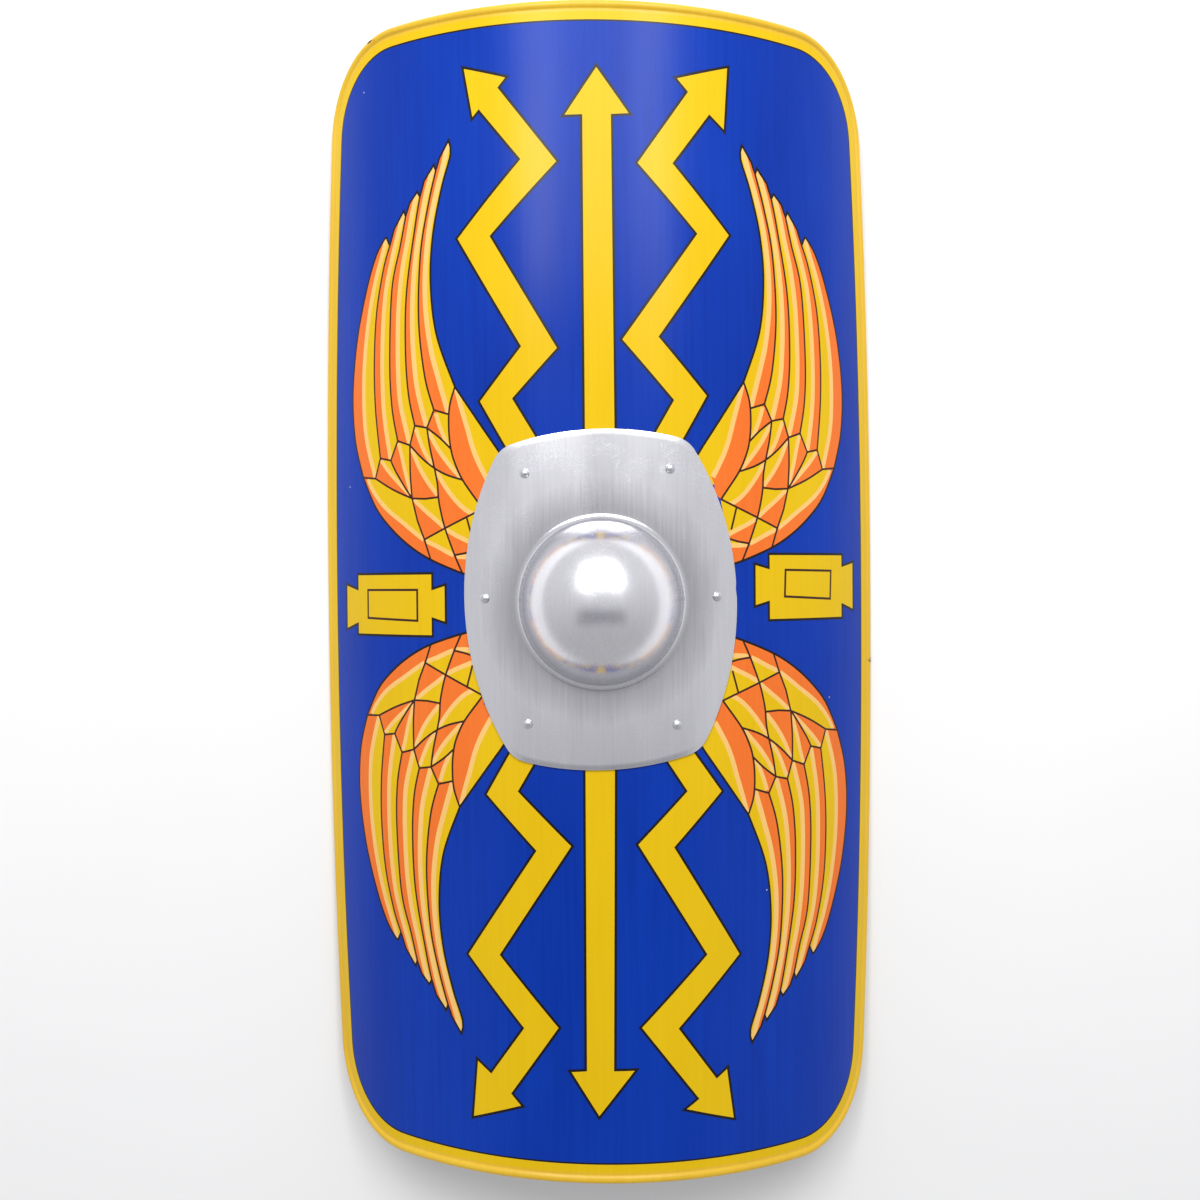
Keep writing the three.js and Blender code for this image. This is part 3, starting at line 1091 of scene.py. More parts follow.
@dataclass(frozen=True)
class Enamel:
    """Brushed enamel paint on steel, with blotches, streaks, specks and chips."""

    name: str
    light: Triple
    dark: Triple
    speck: Triple
    roughness: float
    specular: float = 0.5
    relief: float = 0.1
    chips: tuple[Chip, ...] = ()
    rust: Triple = (0.105, 0.035, 0.012)
    rust_roughness: float = 0.85

    def material(self, effects: Effects) -> bpy.types.Material:
        """Builds the paint's material."""
        finish = Finish(self.name)
        graph, shader, place = finish.graph, finish.shader, finish.place
        links = graph.tree.links
        film = graph.group(effects.brushed_film, place)
        specks = graph.group(effects.specks, place)
        colour = graph.mix(film.outputs["Tone"], (*self.dark, 1.0), (*self.light, 1.0))
        colour = graph.mix(specks.outputs["Mask"], colour, (*self.speck, 1.0))
        smooth_end, rough_end = self.roughness - 0.05, self.roughness + 0.06
        rough = graph.remap(film.outputs["Gloss"], 0.0, 1.0, smooth_end, rough_end)
        for chip in self.chips:
            spot = graph.group(effects.chip, place)
            spot.inputs["Centre"].default_value = chip.centre
            spot.inputs["Reach"].default_value = chip.reach
            bare = spot.outputs["Mask"]
            colour = graph.mix(bare, colour, (*self.rust, 1.0))
            rough = graph.maths("MAXIMUM", rough, graph.maths("MULTIPLY", bare, self.rust_roughness))
        links.new(colour, shader.inputs["Base Color"])
        links.new(rough, shader.inputs["Roughness"])
        shader.inputs["Specular IOR Level"].default_value = self.specular
        bump = graph.node(
            "Bump", {"Height": film.outputs["Relief"], "Strength": self.relief, "Distance": 0.0004}
        )
        links.new(bump.outputs[0], shader.inputs["Normal"])
        return finish.material


@dataclass(frozen=True)
class BrushedSteel:
    """Bare steel with a fine brushed grain and hairline scratches.

    A darker ring of painted shade round the dome's foot, where the flange meets the dome, is given by its
    centre's x and y and its inner and outer radius.
    """

    name: str
    light: Triple
    dark: Triple
    roughness: float
    grain_across: float
    grain_along: float
    foot_shade_ring: tuple[float, float, float, float] | None = None
    blotches: float = 16.0

    def material(self, effects: Effects) -> bpy.types.Material:
        """Builds the steel's material."""
        finish = Finish(self.name)
        graph, shader, place = finish.graph, finish.shader, finish.place
        links = graph.tree.links
        film = graph.group(effects.brushed_film, place)
        film.inputs["Streaks Across"].default_value = self.grain_across
        film.inputs["Streaks Along"].default_value = self.grain_along
        film.inputs["Blotches"].default_value = self.blotches
        scratches = graph.group(effects.scratches, place)
        colour = graph.mix(film.outputs["Tone"], (*self.dark, 1.0), (*self.light, 1.0))
        # Painted shade: the steel is darkened in a ring round the dome's foot.
        if self.foot_shade_ring:
            shade = tuple(0.55 * c for c in self.dark)
            colour = graph.mix(self._foot_shade_mask(graph, place, film.outputs["Tone"]), colour, (*shade, 1.0))
        smooth_end, rough_end = self.roughness - 0.04, self.roughness + 0.08
        rough = graph.remap(film.outputs["Gloss"], 0.0, 1.0, smooth_end, rough_end)
        rough = graph.maths("ADD", rough, graph.maths("MULTIPLY", scratches.outputs["Mask"], 0.12))
        links.new(colour, shader.inputs["Base Color"])
        links.new(rough, shader.inputs["Roughness"])
        shader.inputs["Metallic"].default_value = 1.0
        height = graph.maths(
            "SUBTRACT", film.outputs["Relief"], graph.maths("MULTIPLY", scratches.outputs["Mask"], 0.5)
        )
        bump = graph.node("Bump", {"Height": height, "Strength": 0.03, "Distance": 0.0001})
        links.new(bump.outputs[0], shader.inputs["Normal"])
        return finish.material

    def _foot_shade_mask(self, graph: Graph, place: Socket, tone: Socket) -> Socket:
        """Returns the mask of the painted shade ring round the dome's foot, with a ragged outer edge."""
        x, y, inner, outer = self.foot_shade_ring
        flat = graph.stretch(place, (1.0, 1.0, 0.0), (-x, -y, 0.0))
        away = graph.vector("LENGTH", flat).outputs["Value"]
        ragged = graph.maths("ADD", away, graph.remap(tone, 0.0, 1.0, -0.008, 0.008))
        painted_shade = graph.remap(ragged, inner, outer, 0.75, 0.0)
        outside = graph.remap(away, inner - 0.006, inner, 0.0, 1.0)
        return graph.maths("MULTIPLY", painted_shade, outside)


@dataclass(frozen=True)
class HandledWood:
    """Oiled ash with its grain along X, darker where the hand holds it."""

    name: str = "handled_wood"
    light: Triple = (0.33, 0.165, 0.07)
    dark: Triple = (0.11, 0.045, 0.018)
    hand_dark: Triple = (0.07, 0.03, 0.012)

    def material(self) -> bpy.types.Material:
        """Builds the wood's material."""
        finish = Finish(self.name)
        graph, shader, place = finish.graph, finish.shader, finish.place
        links = graph.tree.links
        along = graph.stretch(place, (3.0, 42.0, 42.0))
        rings = graph.noise(along, 3.0, 3.0, 0.55, 1.2)
        bands = graph.remap(graph.maths("SINE", graph.maths("MULTIPLY", rings, 42.0)), -1.0, 1.0)
        fibres = graph.noise(graph.stretch(place, (18.0, 520.0, 520.0)), 1.0, 3.0, 0.6)
        bands, fibres = graph.maths("MULTIPLY", bands, 0.6), graph.maths("MULTIPLY", fibres, 0.4)
        grain = graph.maths("ADD", bands, fibres)
        colour = graph.mix(grain, (*self.dark, 1.0), (*self.light, 1.0))
        reach = graph.maths("ABSOLUTE", graph.node("SeparateXYZ", {0: place}).outputs[0])
        handled = graph.remap(reach, 0.03, 0.075, 0.55, 0.0)
        colour = graph.mix(handled, colour, (*self.hand_dark, 1.0))
        links.new(colour, shader.inputs["Base Color"])
        links.new(graph.remap(grain, 0.0, 1.0, 0.62, 0.42), shader.inputs["Roughness"])
        bump = graph.node("Bump", {"Height": grain, "Strength": 0.25, "Distance": 0.0004})
        links.new(bump.outputs[0], shader.inputs["Normal"])
        return finish.material


# ------------------------------------------------------------------ board


@dataclass
class PaintedBoard:
    """The sheet with its rolled edge, its hand opening and the painted design."""

    shape: Barrel = Barrel(313.0, 534.5, 26.0, 1.0, 95.0, 60, 30, 34, skew=0.016)
    radius: float = 350.0
    sheet: float = 1.2
    bead_r: float = 4.1
    bead_in: float = 4.25
    bead_drop: float = 2.1
    fillet_r: float = 2.2
    flat_from: float = 10.5
    grid: float = 8.0
    opening_r: float = 62.0
    hole_r: float = 2.4
    fillet_steps: int = 6
    roll_steps: int = 22
    roll_turn: float = math.radians(268)

    def bead_profile(self) -> list[Point]:
        """Gives the rolled edge's section, from the front round to the back.

        Returns:
            Rows of (distance in from the outline, height).
        """
        reach = self.bead_r + self.fillet_r
        fillet_in = self.bead_in + math.sqrt(reach**2 - (self.fillet_r + self.bead_drop) ** 2)
        start = -math.atan2(fillet_in - self.bead_in, self.fillet_r + self.bead_drop)
        rows = [(lerp(self.flat_from, fillet_in, 0.6), 0.0)]
        for i in range(self.fillet_steps):
            turn = -start * i / self.fillet_steps
            inset = fillet_in - self.fillet_r * math.sin(turn)
            rows.append((inset, self.fillet_r * (1 - math.cos(turn))))
        for i in range(self.roll_steps + 1):
            turn = lerp(start, self.roll_turn, i / self.roll_steps)
            inset = self.bead_in - self.bead_r * math.sin(turn)
            rows.append((inset, self.bead_r * math.cos(turn) - self.bead_drop))
        rows += [(8.55, -1.75), (8.8, -1.35), (9.3, -self.sheet)]
        return rows

    def build(
        self,
        face: CurvedFace,
        design: Design,
        rivets: list[Point],
        materials: list[bpy.types.Material],
    ) -> bpy.types.Object:
        """Makes the board's mesh.

        Args:
            face: The curved face.
            design: What is painted on the front.
            rivets: The rivets' places.
            materials: The paints in Ink's order, then the rim's and the back's.

        Returns:
            The board.
        """
        draft = MeshDraft()
        rim = self.shape.outline(self.flat_from)
        holes = [self._opening(face)]
        for u, v in rivets:
            holes.append(arc((u, v), self.hole_r, 0, TURN * 23 / 24, 23))
        front_loops = self._skin(draft, face, rim, holes, design, 0.0, self.grid)
        back_loops = self._skin(draft, face, rim, holes, None, -self.sheet, 2 * self.grid)
        back = len(Ink) + 1
        for front, behind in zip(front_loops[1:], back_loops[1:]):
            for i in range(len(front)):
                j = (i + 1) % len(front)
                draft.add_face((front[i], front[j], behind[j], behind[i]), back)
        self._roll(draft, face, front_loops[0], back_loops[0])
        return draft.build("painted_board", materials, sharp_angle=50)

    def _opening(self, face: CurvedFace) -> Path:
        """Returns the hand opening, round when seen from the front."""
        ring = arc(face.boss_centre, self.opening_r, 0, TURN * 95 / 96, 95)
        return [(self.radius * math.asin(x / self.radius), y) for x, y in ring]

    def _skin(
        self,
        draft: MeshDraft,
        face: CurvedFace,
        rim: Path,
        holes: list[Path],
        design: Design | None,
        h: float,
        grid: float,
    ) -> list[np.ndarray]:
        """Adds the front or the back of the sheet.

        Args:
            draft: The mesh to add to.
            face: The curved face.
            rim: The skin's outer edge.
            holes: The holes' edges.
            design: The painted design, or None for the plain back.
            h: The skin's height over the painted face.
            grid: The distance between free points.

        Returns:
            The numbers of the points of the outer edge and of each hole's edge.
        """
        points: Path = []
        edges: list[tuple[int, int]] = []
        loops = []
        borders = [densify([*r, r[0]])[:-1] for r in design.borders()] if design else []
        for ring in [rim, *holes, *borders]:
            start = len(points)
            points += ring
            edges += [(start + i, start + (i + 1) % len(ring)) for i in range(len(ring))]
            loops.append(range(start, start + len(ring)))
        fixed = np.array(points)
        free = self._free_points(rim, holes, fixed, grid)
        everything = [Vector(p) for p in points] + [Vector(p) for p in free]
        places, _, triangles, sources, _, _ = delaunay_2d_cdt(everything, edges, [], 0, 1e-4, True)
        flat = np.array([tuple(p) for p in places])
        triangles = np.array([tuple(t) for t in triangles])
        middles = flat[triangles].mean(1)
        kept = inside(middles, rim)
        for hole in holes:
            kept &= ~inside(middles, hole)
        triangles, middles = triangles[kept], middles[kept]
        used = np.unique(triangles)
        renumber = np.full(len(flat), -1)
        renumber[used] = draft.add_points(face.place(flat[used, 0], flat[used, 1], h))
        normals = face.normal(flat[:, 0], flat[:, 1]) * (1 if design else -1)
        inks = design.ink_at(middles) if design else np.full(len(triangles), len(Ink) + 1)
        for triangle, ink in zip(triangles, inks):
            corners = triangle if design else triangle[::-1]
            draft.add_face(renumber[corners], ink, normals[corners])
        owner = {source: number for number, found in enumerate(sources) for source in found}
        return [np.array([renumber[owner[i]] for i in loop]) for loop in loops[: 1 + len(holes)]]

    @staticmethod
    def _free_points(rim: Path, holes: list[Path], fixed: np.ndarray, grid: float) -> np.ndarray:
        """Returns grid points in the skin that keep clear of its fixed points."""
        low, high = np.array(rim).min(0), np.array(rim).max(0)
        us = np.arange(low[0] + grid / 2, high[0], grid)
        vs = np.arange(low[1] + grid / 2, high[1], grid)
        spread = np.stack(np.meshgrid(us, vs), -1).reshape(-1, 2)
        spread = spread[inside(spread, rim)]
        for hole in holes:
            spread = spread[~inside(spread, hole)]
        gap = np.full(len(spread), np.inf)
        for block in np.array_split(fixed, max(1, len(fixed) // 500)):
            gap = np.minimum(gap, ((spread[:, None] - block[None]) ** 2).sum(-1).min(1))
        return spread[gap > (0.4 * grid) ** 2]

    def _roll(
        self, draft: MeshDraft, face: CurvedFace, front_edge: np.ndarray, back_edge: np.ndarray
    ) -> None:
        """Adds the rolled edge between the front's and the back's outer edges."""
        previous = front_edge
        for inset, h in self.bead_profile():
            ring = np.array(self.shape.outline(inset))
            places = face.place(ring[:, 0], ring[:, 1], h)
            places[:, 2] = np.maximum(places[:, 2], 0.0)
            ring_points = draft.add_points(places)
            draft.add_ring_strip(previous, ring_points, len(Ink))
            previous = ring_points
        draft.add_ring_strip(previous, back_edge, len(Ink) + 1)


# ------------------------------------------------------------------ boss


@dataclass
class BossPlate:
    """The steel plate bent to the board, with a dome for the fist."""

    shape: Barrel = Barrel(127.5, 153.8, 50.0, 28.0, 28.0, 18, 10, 22)
    centre: Point = (3.0, -3.0)
    turn: float = 0.035
    dome_centre: Point = (4.0, -5.0)
    sheet: float = 1.6
    gap: float = 0.4
    dome_r: float = 74.6
    dome_h: float = 66.0
    flare_r: float = 7.0
    edge_r: float = 0.45
    dome_steps: int = 40
    flare_steps: int = 12
    plate_steps: int = 14

    def profile(self, t: float) -> list[Point]:
        """Gives radius and height down the dome and its flare.

        Args:
            t: Depth of this skin under the outer one.

        Returns:
            Points from the crown to the plate.
        """
        sphere_r = (self.dome_r**2 + self.dome_h**2) / (2 * self.dome_h)
        sphere_z = self.dome_h - sphere_r
        out = math.sqrt((sphere_r + self.flare_r) ** 2 - (self.flare_r - sphere_z) ** 2)
        turn = math.atan2(out, self.flare_r - sphere_z)
        skin_r = sphere_r - t
        angles = [turn * i / self.dome_steps for i in range(self.dome_steps + 1)]
        dome = [(skin_r * math.sin(a), sphere_z + skin_r * math.cos(a)) for a in angles]
        flare = []
        for i in range(1, self.flare_steps + 1):
            angle = turn * (1 - i / self.flare_steps)
            reach = self.flare_r + t
            flare.append((out - reach * math.sin(angle), self.flare_r - reach * math.cos(angle)))
        return dome + flare

    def _dome_ring(
        self, face: CurvedFace, directions: np.ndarray, r: float, h: float, foot: float
    ) -> np.ndarray:
        """Returns one ring of the dome, round near the crown and bent at its foot."""
        u = self.dome_centre[0] + r * directions[:, 0]
        v = self.dome_centre[1] + r * directions[:, 1]
        blend = smoothstep(r, foot * 0.4, foot)
        bent = face.place(u, v, 0)
        x = u + (bent[:, 0] - u) * blend
        z = face.crown_z + (bent[:, 2] - face.crown_z) * blend
        dent = 0.12 * np.sin(3 * directions[:, 0] + r / 17) * np.sin(r / 23) * (1 - blend)
        return np.stack([x, v, z + h + dent], -1)

    def rings(self, face: CurvedFace, t: float) -> list[np.ndarray]:
        """Gives one skin of the boss as rings from the crown to near the edge."""
        lift = self.gap + self.sheet
        edge = self._edge(self.edge_r)
        out = edge - self.dome_centre
        directions = out / np.linalg.norm(out, axis=1, keepdims=True)
        profile = self.profile(t)
        foot = profile[-1][0]
        rings = [self._dome_ring(face, directions, r, h + lift, foot) for r, h in profile[1:]]
        start = self.dome_centre + directions * foot
        for i in range(1, self.plate_steps + 1):
            spot = start + (edge - start) * (i / self.plate_steps)
            rings.append(face.place(spot[:, 0], spot[:, 1], lift - t))
        return rings

    def _edge(self, inset: float) -> np.ndarray:
        """Returns the plate's outline drawn in by inset, turned and placed on the board."""
        edge = np.array(self.shape.outline(inset))
        self._nick(edge)
        cos, sin = math.cos(self.turn), math.sin(self.turn)
        return edge @ np.array([[cos, sin], [-sin, cos]]) + self.centre

    def edge_rings(self, face: CurvedFace) -> list[np.ndarray]:
        """Gives the rings of the plate's rounded edge, from the front to the back."""
        lift, r = self.gap + self.sheet, self.edge_r
        rows = [(r - r * math.sin(a), lift - r + r * math.cos(a)) for a in (0.52, 1.05, 1.57)]
        rows += [(r - r * math.sin(a), self.gap + r + r * math.cos(a)) for a in (1.57, 2.09, 2.62)]
        rings = []
        for inset, h in rows:
            edge = self._edge(inset)
            rings.append(face.place(edge[:, 0], edge[:, 1], h))
        return rings

    @staticmethod
    def _nick(edge: np.ndarray) -> None:
        """Draws in a small nick on the right-hand side of the edge."""
        near = np.exp(-(((edge[:, 1] - 2.0) / 3.0) ** 2)) * (edge[:, 0] > 0)
        edge[:, 0] -= 1.1 * near

    def build(
        self, face: CurvedFace, rivets: list["Rivet"], material: bpy.types.Material
    ) -> bpy.types.Object:
        """Makes the boss, with its rivet holes."""
        draft = MeshDraft()
        outer, inner = self.rings(face, 0.0), self.rings(face, self.sheet)
        rows = [*outer, *self.edge_rings(face), *inner[::-1]]
        numbers = [draft.add_points(row) for row in rows]
        for a, b in zip(numbers, numbers[1:]):
            draft.add_ring_strip(a, b)
        for ring, t, turned in ((numbers[0], 0.0, False), (numbers[-1], self.sheet, True)):
            top = self.dome_h - t + self.gap + self.sheet + face.crown_z
            pole = draft.add_points(np.array([[*self.dome_centre, top]]))[0]
            for i in range(len(ring)):
                j = (i + 1) % len(ring)
                draft.add_face((pole, ring[j], ring[i]) if turned else (pole, ring[i], ring[j]))
        piece = draft.build("boss_plate", [material], sharp_angle=35)
        cut_holes(piece, [rivet.cutter(face) for rivet in rivets])
        piece.data.set_sharp_from_angle(angle=math.radians(35))
        return piece


# ------------------------------------------------------------------ rivets and grip


@dataclass(frozen=True)
class Rivet:
    """A rivet with a domed head in front and a hammered end behind."""

    name: str
    place: Point
    through_grip: bool = False
    head_r: float = 4.4
    head_h: float = 2.9
    rim_h: float = 0.3
    shank_r: float = 1.95
    tail_r: float = 3.5
    tail_h: float = 1.35
    seat: float = 2.4
    hole_r: float = 2.4
    sides: int = 40
    tail_under_sheet: float = -1.6
    tail_under_grip: float = -10.0

    def back(self) -> float:
        """Returns the height where the hammered end begins, behind the sheet or the grip."""
        return self.tail_under_grip if self.through_grip else self.tail_under_sheet

    def _lathe(
        self, name: str, profile: list[Point], face: CurvedFace, materials: list[bpy.types.Material]
    ) -> bpy.types.Object:
        """Turns a profile of (radius, height) round the rivet's axis."""
        draft = MeshDraft()
        stand = face.standing(*self.place)
        seed = sum(map(ord, self.name))
        rings = []
        for r, h in profile:
            angles = np.arange(self.sides) * TURN / self.sides
            wobble = 1 + 0.012 * np.sin(2 * angles + seed) * (r > self.shank_r)
            reach = zip(r * wobble * np.cos(angles), r * wobble * np.sin(angles))
            ring = [stand @ (Vector((x, y, h)) * MM) for x, y in reach]
            rings.append(draft.add_points(np.array([tuple(p / MM) for p in ring])))
        for a, b in zip(rings, rings[1:]):
            draft.add_ring_strip(b, a)
        draft.add_face(tuple(rings[-1]))
        draft.add_face(tuple(rings[0][::-1]))
        return draft.build(name, materials, sharp_angle=50)

    def build(self, face: CurvedFace, material: bpy.types.Material) -> bpy.types.Object:
        """Makes the rivet."""
        back = self.back()
        tail = [
            (self.tail_r * math.cos(a) ** 0.7 + 0.01, back - self.tail_h * math.sin(a))
            for a in (1.5, 1.2, 0.9, 0.6, 0.3, 0.05)
        ]
        rim_top = self.seat + self.rim_h
        head = [(self.head_r, self.seat), (self.head_r, rim_top)]
        for i in range(1, 12):
            angle = TURN / 4 * i / 12
            rise = (self.head_h - self.rim_h) * math.sin(angle)
            head.append((self.head_r * math.cos(angle), rim_top + rise))
        profile = [*tail, (self.tail_r, back), (self.shank_r, back), (self.shank_r, self.seat), *head]
        return self._lathe("domed_" + self.name, profile, face, [material])

    def cutter(self, face: CurvedFace) -> bpy.types.Object:
        """Makes a rod that cuts this rivet's hole."""
        rod = [(self.hole_r, -20.0), (self.hole_r, 20.0)]
        return self._lathe("cutter_" + self.name, rod, face, [])


@dataclass
class WoodenGrip:
    """The bar that the hand holds, thinned at both ends where it is riveted on."""

    v: float = -1.0
    pad_t: float = 8.0
    bar_t: float = 22.0
    pad_w: float = 26.0
    bar_w: float = 30.0
    end_u: float = 124.0
    pad_u: float = 92.0
    bar_u: float = 72.0
    round_r: float = 6.0
    round_steps: int = 7
    behind: float = 1.6

    def section(self, face: CurvedFace, u: float, shrink: float) -> np.ndarray:
        """Gives the bar's section at u.

        Args:
            face: The curved face.
            u: Place round the curve.
            shrink: Distance by which the section is drawn in, for the rounded ends.

        Returns:
            Points round the section.
        """
        out = abs(u)
        swell = 1 - smoothstep(out, self.bar_u, self.pad_u)
        thick = lerp(self.pad_t, self.bar_t, swell)
        wide = lerp(self.pad_w, self.bar_w, swell) - 2 * shrink
        round_r = min(self.round_r, thick / 3)
        seat_u = math.copysign(max(out, self.pad_u), u)
        seat = face.place(seat_u, self.v, -self.behind)
        angle = u / face.radius
        on_pad = out >= self.pad_u
        lean = np.array([math.sin(angle), 0, math.cos(angle)]) if on_pad else np.array([0, 0, 1.0])
        front = seat if on_pad else np.array([face.radius * math.sin(angle), seat[1], seat[2]])
        corners = [(1, -1, 0), (-1, -1, 1), (-1, 1, 2), (1, 1, 3)]
        ring = []
        for side, deep, quarter in corners:
            along = side * (wide / 2 - round_r)
            depth = -round_r - shrink if deep < 0 else -thick + round_r + shrink
            for i in range(self.round_steps + 1):
                turn = (quarter + i / self.round_steps) * TURN / 4
                y = along + round_r * math.cos(turn)
                z = depth + round_r * math.sin(turn)
                ring.append(front + np.array([0, y, 0]) + lean * z)
        return np.array(ring)

    def build(
        self, face: CurvedFace, rivets: list[Rivet], material: bpy.types.Material
    ) -> bpy.types.Object:
        """Makes the grip, with its two rivet holes."""
        draft = MeshDraft()
        half = [self.end_u - 0.1, self.end_u - 0.6, self.end_u - 1.6]
        half += [lerp(self.end_u - 4, self.bar_u - 8, i / 22) for i in range(23)]
        half += [self.bar_u * share for share in (0.75, 0.55, 0.35, 0.15)]
        shrinks = {half[0]: 1.5, half[1]: 0.7, half[2]: 0.15}
        stations = [-u for u in half] + half[::-1]
        rings = [draft.add_points(self.section(face, u, shrinks.get(abs(u), 0.0))) for u in stations]
        for a, b in zip(rings, rings[1:]):
            draft.add_ring_strip(b, a)
        draft.add_face(tuple(rings[0][::-1]))
        draft.add_face(tuple(rings[-1]))
        piece = draft.build("wooden_grip", [material], sharp_angle=45)
        cut_holes(piece, [r.cutter(face) for r in rivets if r.through_grip])
        piece.data.set_sharp_from_angle(angle=math.radians(45))
        return piece


# ------------------------------------------------------------------ studio


@dataclass(frozen=True)
class SoftBox:
    """A lamp with a soft rectangular face."""

    name: str
    place: Triple
    aim: Triple
    size: tuple[float, float]
    power: float


@dataclass
class Studio:
    """The floor, the lamps and the camera."""

    camera_place: Triple = (0.0145, 0.0158, 1.2317)
    camera_aim: Triple = (0.0025, -0.0031, 0.132)
    camera_roll: float = -0.47
    lens: float = 36.6
    floor_half: float = 6.0
    floor_steps: int = 12
    boxes: tuple[SoftBox, ...] = (
        SoftBox("left_panel", (-0.78, 1.8, 2.13), (-0.78, 1.8, 0.0), (0.5, 2.0), 30.0),
        SoftBox("right_panel", (0.78, 1.8, 2.13), (0.78, 1.8, 0.0), (0.5, 2.0), 28.0),
        SoftBox("middle_panel", (0.0, 1.8, 2.13), (0.0, 1.8, 0.0), (1.06, 2.0), 22.0),
    )

    def set_up(self) -> None:
        """Adds everything."""
        self._floor()
        self._world()
        for box in self.boxes:
            self._lamp(box)
        self._camera()
        bpy.context.scene.view_settings.view_transform = "Standard"

    def _floor(self) -> None:
        """Adds the pale floor."""
        draft = MeshDraft()
        marks = np.linspace(-self.floor_half, self.floor_half, self.floor_steps + 1) / MM
        rows = [draft.add_points(np.array([[x, y, 0.0] for x in marks])) for y in marks]
        for low, high in zip(rows, rows[1:]):
            for i in range(self.floor_steps):
                draft.add_face((low[i], low[i + 1], high[i + 1], high[i]))
        finish = Finish("studio_floor")
        graph, shader, place = finish.graph, finish.shader, finish.place
        tone = graph.noise(place, 3.0, 3.0)
        colour = graph.mix(tone, (0.86, 0.86, 0.86, 1.0), (0.9, 0.9, 0.9, 1.0))
        graph.tree.links.new(colour, shader.inputs["Base Color"])
        shader.inputs["Roughness"].default_value = 0.9
        shader.inputs["Specular IOR Level"].default_value = 0.1
        floor = draft.build("studio_floor", [finish.material])

    @staticmethod
    def _world() -> None:
        """Adds a soft surround, with a dim bar overhead that the polished dome reflects."""
        world = bpy.data.worlds.new("studio")
        bpy.context.scene.world = world
        world.use_nodes = True
        graph = Graph(world.node_tree)
        direction = graph.node("TexCoord").outputs["Generated"]
        parts = graph.node("SeparateXYZ", {0: direction}).outputs
        level = graph.remap(parts[1], -0.7, 0.5, 0.5, 0.8)
        across = graph.remap(graph.maths("ABSOLUTE", parts[0]), 0.5, 0.56, 1.0, 0.0)
        below = graph.remap(parts[1], -0.5, -0.42, 0.0, 1.0)
        above = graph.remap(parts[1], -0.2, -0.13, 1.0, 0.0)
        bar = graph.maths("MULTIPLY", across, graph.maths("MULTIPLY", below, above))
        dimming = graph.maths("MULTIPLY", bar, 0.75)
        tone = graph.mix(dimming, (0.98, 0.985, 1.0, 1.0), (0.3, 0.29, 0.34, 1.0))
        background = world.node_tree.nodes["Background"]
        graph.tree.links.new(tone, background.inputs[0])
        graph.tree.links.new(level, background.inputs[1])

    @staticmethod
    def _lamp(box: SoftBox) -> None:
        """Adds one soft box."""
        data = bpy.data.lights.new(box.name, "AREA")
        data.shape = "RECTANGLE"
        data.size, data.size_y = box.size
        data.energy = box.power
        lamp = bpy.data.objects.new(box.name, data)
        bpy.context.scene.collection.objects.link(lamp)
        lamp.location = box.place
        lamp.rotation_euler = (Vector(box.aim) - Vector(box.place)).to_track_quat("-Z", "Y").to_euler()

    def _camera(self) -> None:
        """Adds the camera, over the lying shield."""
        data = bpy.data.cameras.new("camera")
        data.lens = self.lens
        data.sensor_width = 36.0
        data.dof.use_dof = False
        camera = bpy.data.objects.new("camera", data)
        bpy.context.scene.collection.objects.link(camera)
        place, aim = Vector(self.camera_place), Vector(self.camera_aim)
        back = (place - aim).normalized()
        right = Vector((0, 1, 0)).cross(back).normalized()
        up = back.cross(right)
        turn = Matrix((right, up, back)).transposed().to_4x4()
        roll = Matrix.Rotation(math.radians(self.camera_roll), 4, "Z")
        camera.matrix_world = Matrix.Translation(place) @ turn @ roll
        bpy.context.scene.camera = camera


# ------------------------------------------------------------------ shield

RIVETS = [
    Rivet("rivet_top_left", (-65.0, 112.0)),
    Rivet("rivet_top_right", (67.0, 115.0)),
    Rivet("rivet_middle_left", (-104.0, -1.0), True),
    Rivet("rivet_middle_right", (111.0, -1.0), True),
    Rivet("rivet_bottom_left", (-64.0, -115.0)),
    Rivet("rivet_bottom_right", (72.0, -117.0)),
]

CROWN_Z = 131.95  # height of the painted face's crown over the floor
RIM_CHIPS = (
    Chip((-0.2195, 0.5305, 0.064), (0.009, 0.0022, 0.008)),
    Chip((0.2725, -0.068, 0.0), (0.004, 0.003, 0.008)),
)


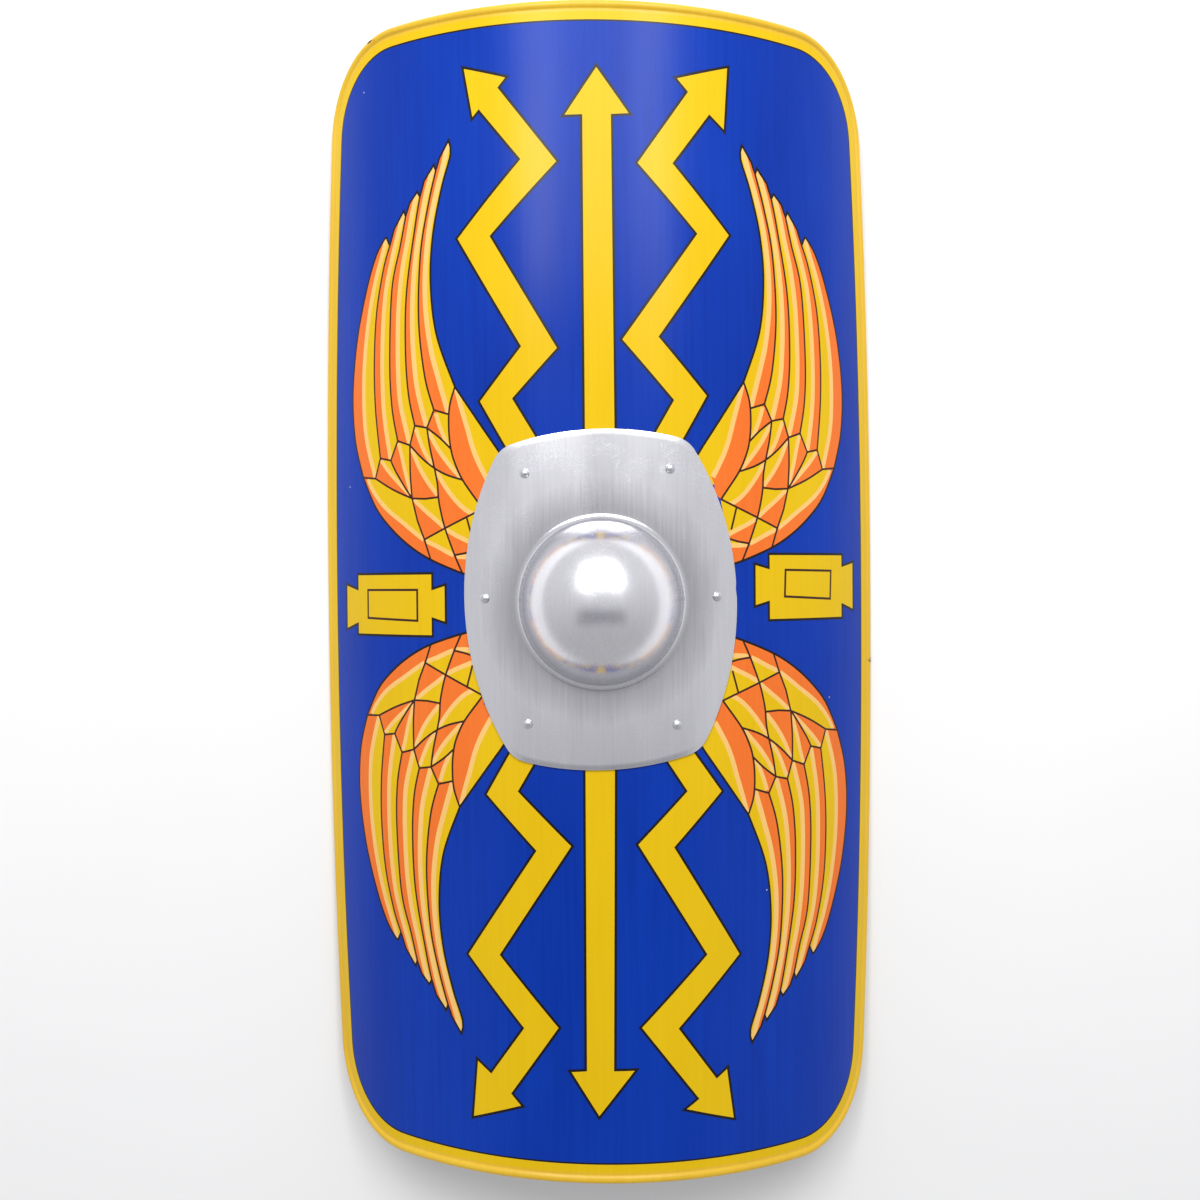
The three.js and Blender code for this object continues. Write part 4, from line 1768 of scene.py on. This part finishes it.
def paints(effects: Effects) -> list[bpy.types.Material]:
    """Returns the board's materials: the paints in Ink's order, the rim's and the back's."""
    dust = (0.55, 0.6, 0.75)
    finishes = [
        Enamel("blue_enamel", (0.0015, 0.043, 0.41), (0.0006, 0.025, 0.29), dust, 0.24, 0.16),
        Enamel("yellow_enamel", (0.76, 0.5, 0.006), (0.7, 0.44, 0.003), (0.35, 0.2, 0.05), 0.24, 0.16),
        Enamel("orange_enamel", (0.84, 0.19, 0.03), (0.78, 0.15, 0.02), (0.7, 0.4, 0.2), 0.24, 0.16),
        Enamel("cream_enamel", (0.88, 0.55, 0.19), (0.82, 0.48, 0.14), (0.8, 0.7, 0.5), 0.24, 0.16),
        Enamel("black_enamel", (0.006, 0.005, 0.008), (0.003, 0.003, 0.004), (0.05, 0.05, 0.06), 0.3, 0.3),
        Enamel("brown_enamel", (0.05, 0.01, 0.003), (0.03, 0.005, 0.002), (0.2, 0.08, 0.03), 0.3, 0.3),
        Enamel(
            "rim_enamel",
            (0.76, 0.49, 0.03),
            (0.68, 0.4, 0.018),
            (0.35, 0.2, 0.05),
            0.3,
            0.35,
            chips=RIM_CHIPS,
        ),
        Enamel("back_enamel", (0.008, 0.022, 0.13), (0.005, 0.014, 0.09), (0.12, 0.14, 0.2), 0.45),
    ]
    return [finish.material(effects) for finish in finishes]


def dress(piece: bpy.types.Object, slot: str, *nodes: str) -> None:
    """Puts a piece on the body and hides the CAD nodes that it stands for."""
    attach(piece, "root")
    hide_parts(*nodes)
    mesh = piece.data
    counts = (len(mesh.vertices), len(mesh.polygons), len(mesh.materials))
    log.info("%s: %d points, %d faces, %d finishes", piece.name, *counts)


def main() -> None:
    """Builds every piece of the shield, then the studio round it."""
    logging.basicConfig(level=logging.INFO, format="%(message)s")
    effects = Effects()
    board = PaintedBoard()
    boss = BossPlate()
    face = CurvedFace(
        board.radius, CROWN_Z, board.shape, boss.centre, (boss.shape.half_u, boss.shape.half_v)
    )
    design = legion_design(board.shape)
    places = [rivet.place for rivet in RIVETS]
    dress(board.build(face, design, places, paints(effects)), "painted_steel", "shield_board")

    boss_steel = BrushedSteel(
        "brushed_boss_steel",
        (0.86, 0.86, 0.895),
        (0.75, 0.745, 0.795),
        0.22,
        grain_across=420.0,
        grain_along=14.0,
        # painted shade ring round the dome's foot: centre x and y, inner and outer radius
        foot_shade_ring=(0.004, -0.005, 0.08, 0.112),
    )
    dress(boss.build(face, RIVETS, boss_steel.material(effects)), "satin_steel", "boss")
    rivet_steel = BrushedSteel(
        "worn_rivet_steel",
        (0.78, 0.78, 0.81),
        (0.6, 0.6, 0.65),
        0.24,
        grain_across=600.0,
        grain_along=90.0,
    )
    rivet_finish = rivet_steel.material(effects)
    for rivet in RIVETS:
        dress(rivet.build(face, rivet_finish), "rivet_steel", rivet.name)
    grip = WoodenGrip()
    dress(grip.build(face, RIVETS, HandledWood().material()), "grip_wood", "hand_grip")
    Studio().set_up()


if __name__ == "__main__":
    main()
    bpy.context.view_layer.update()
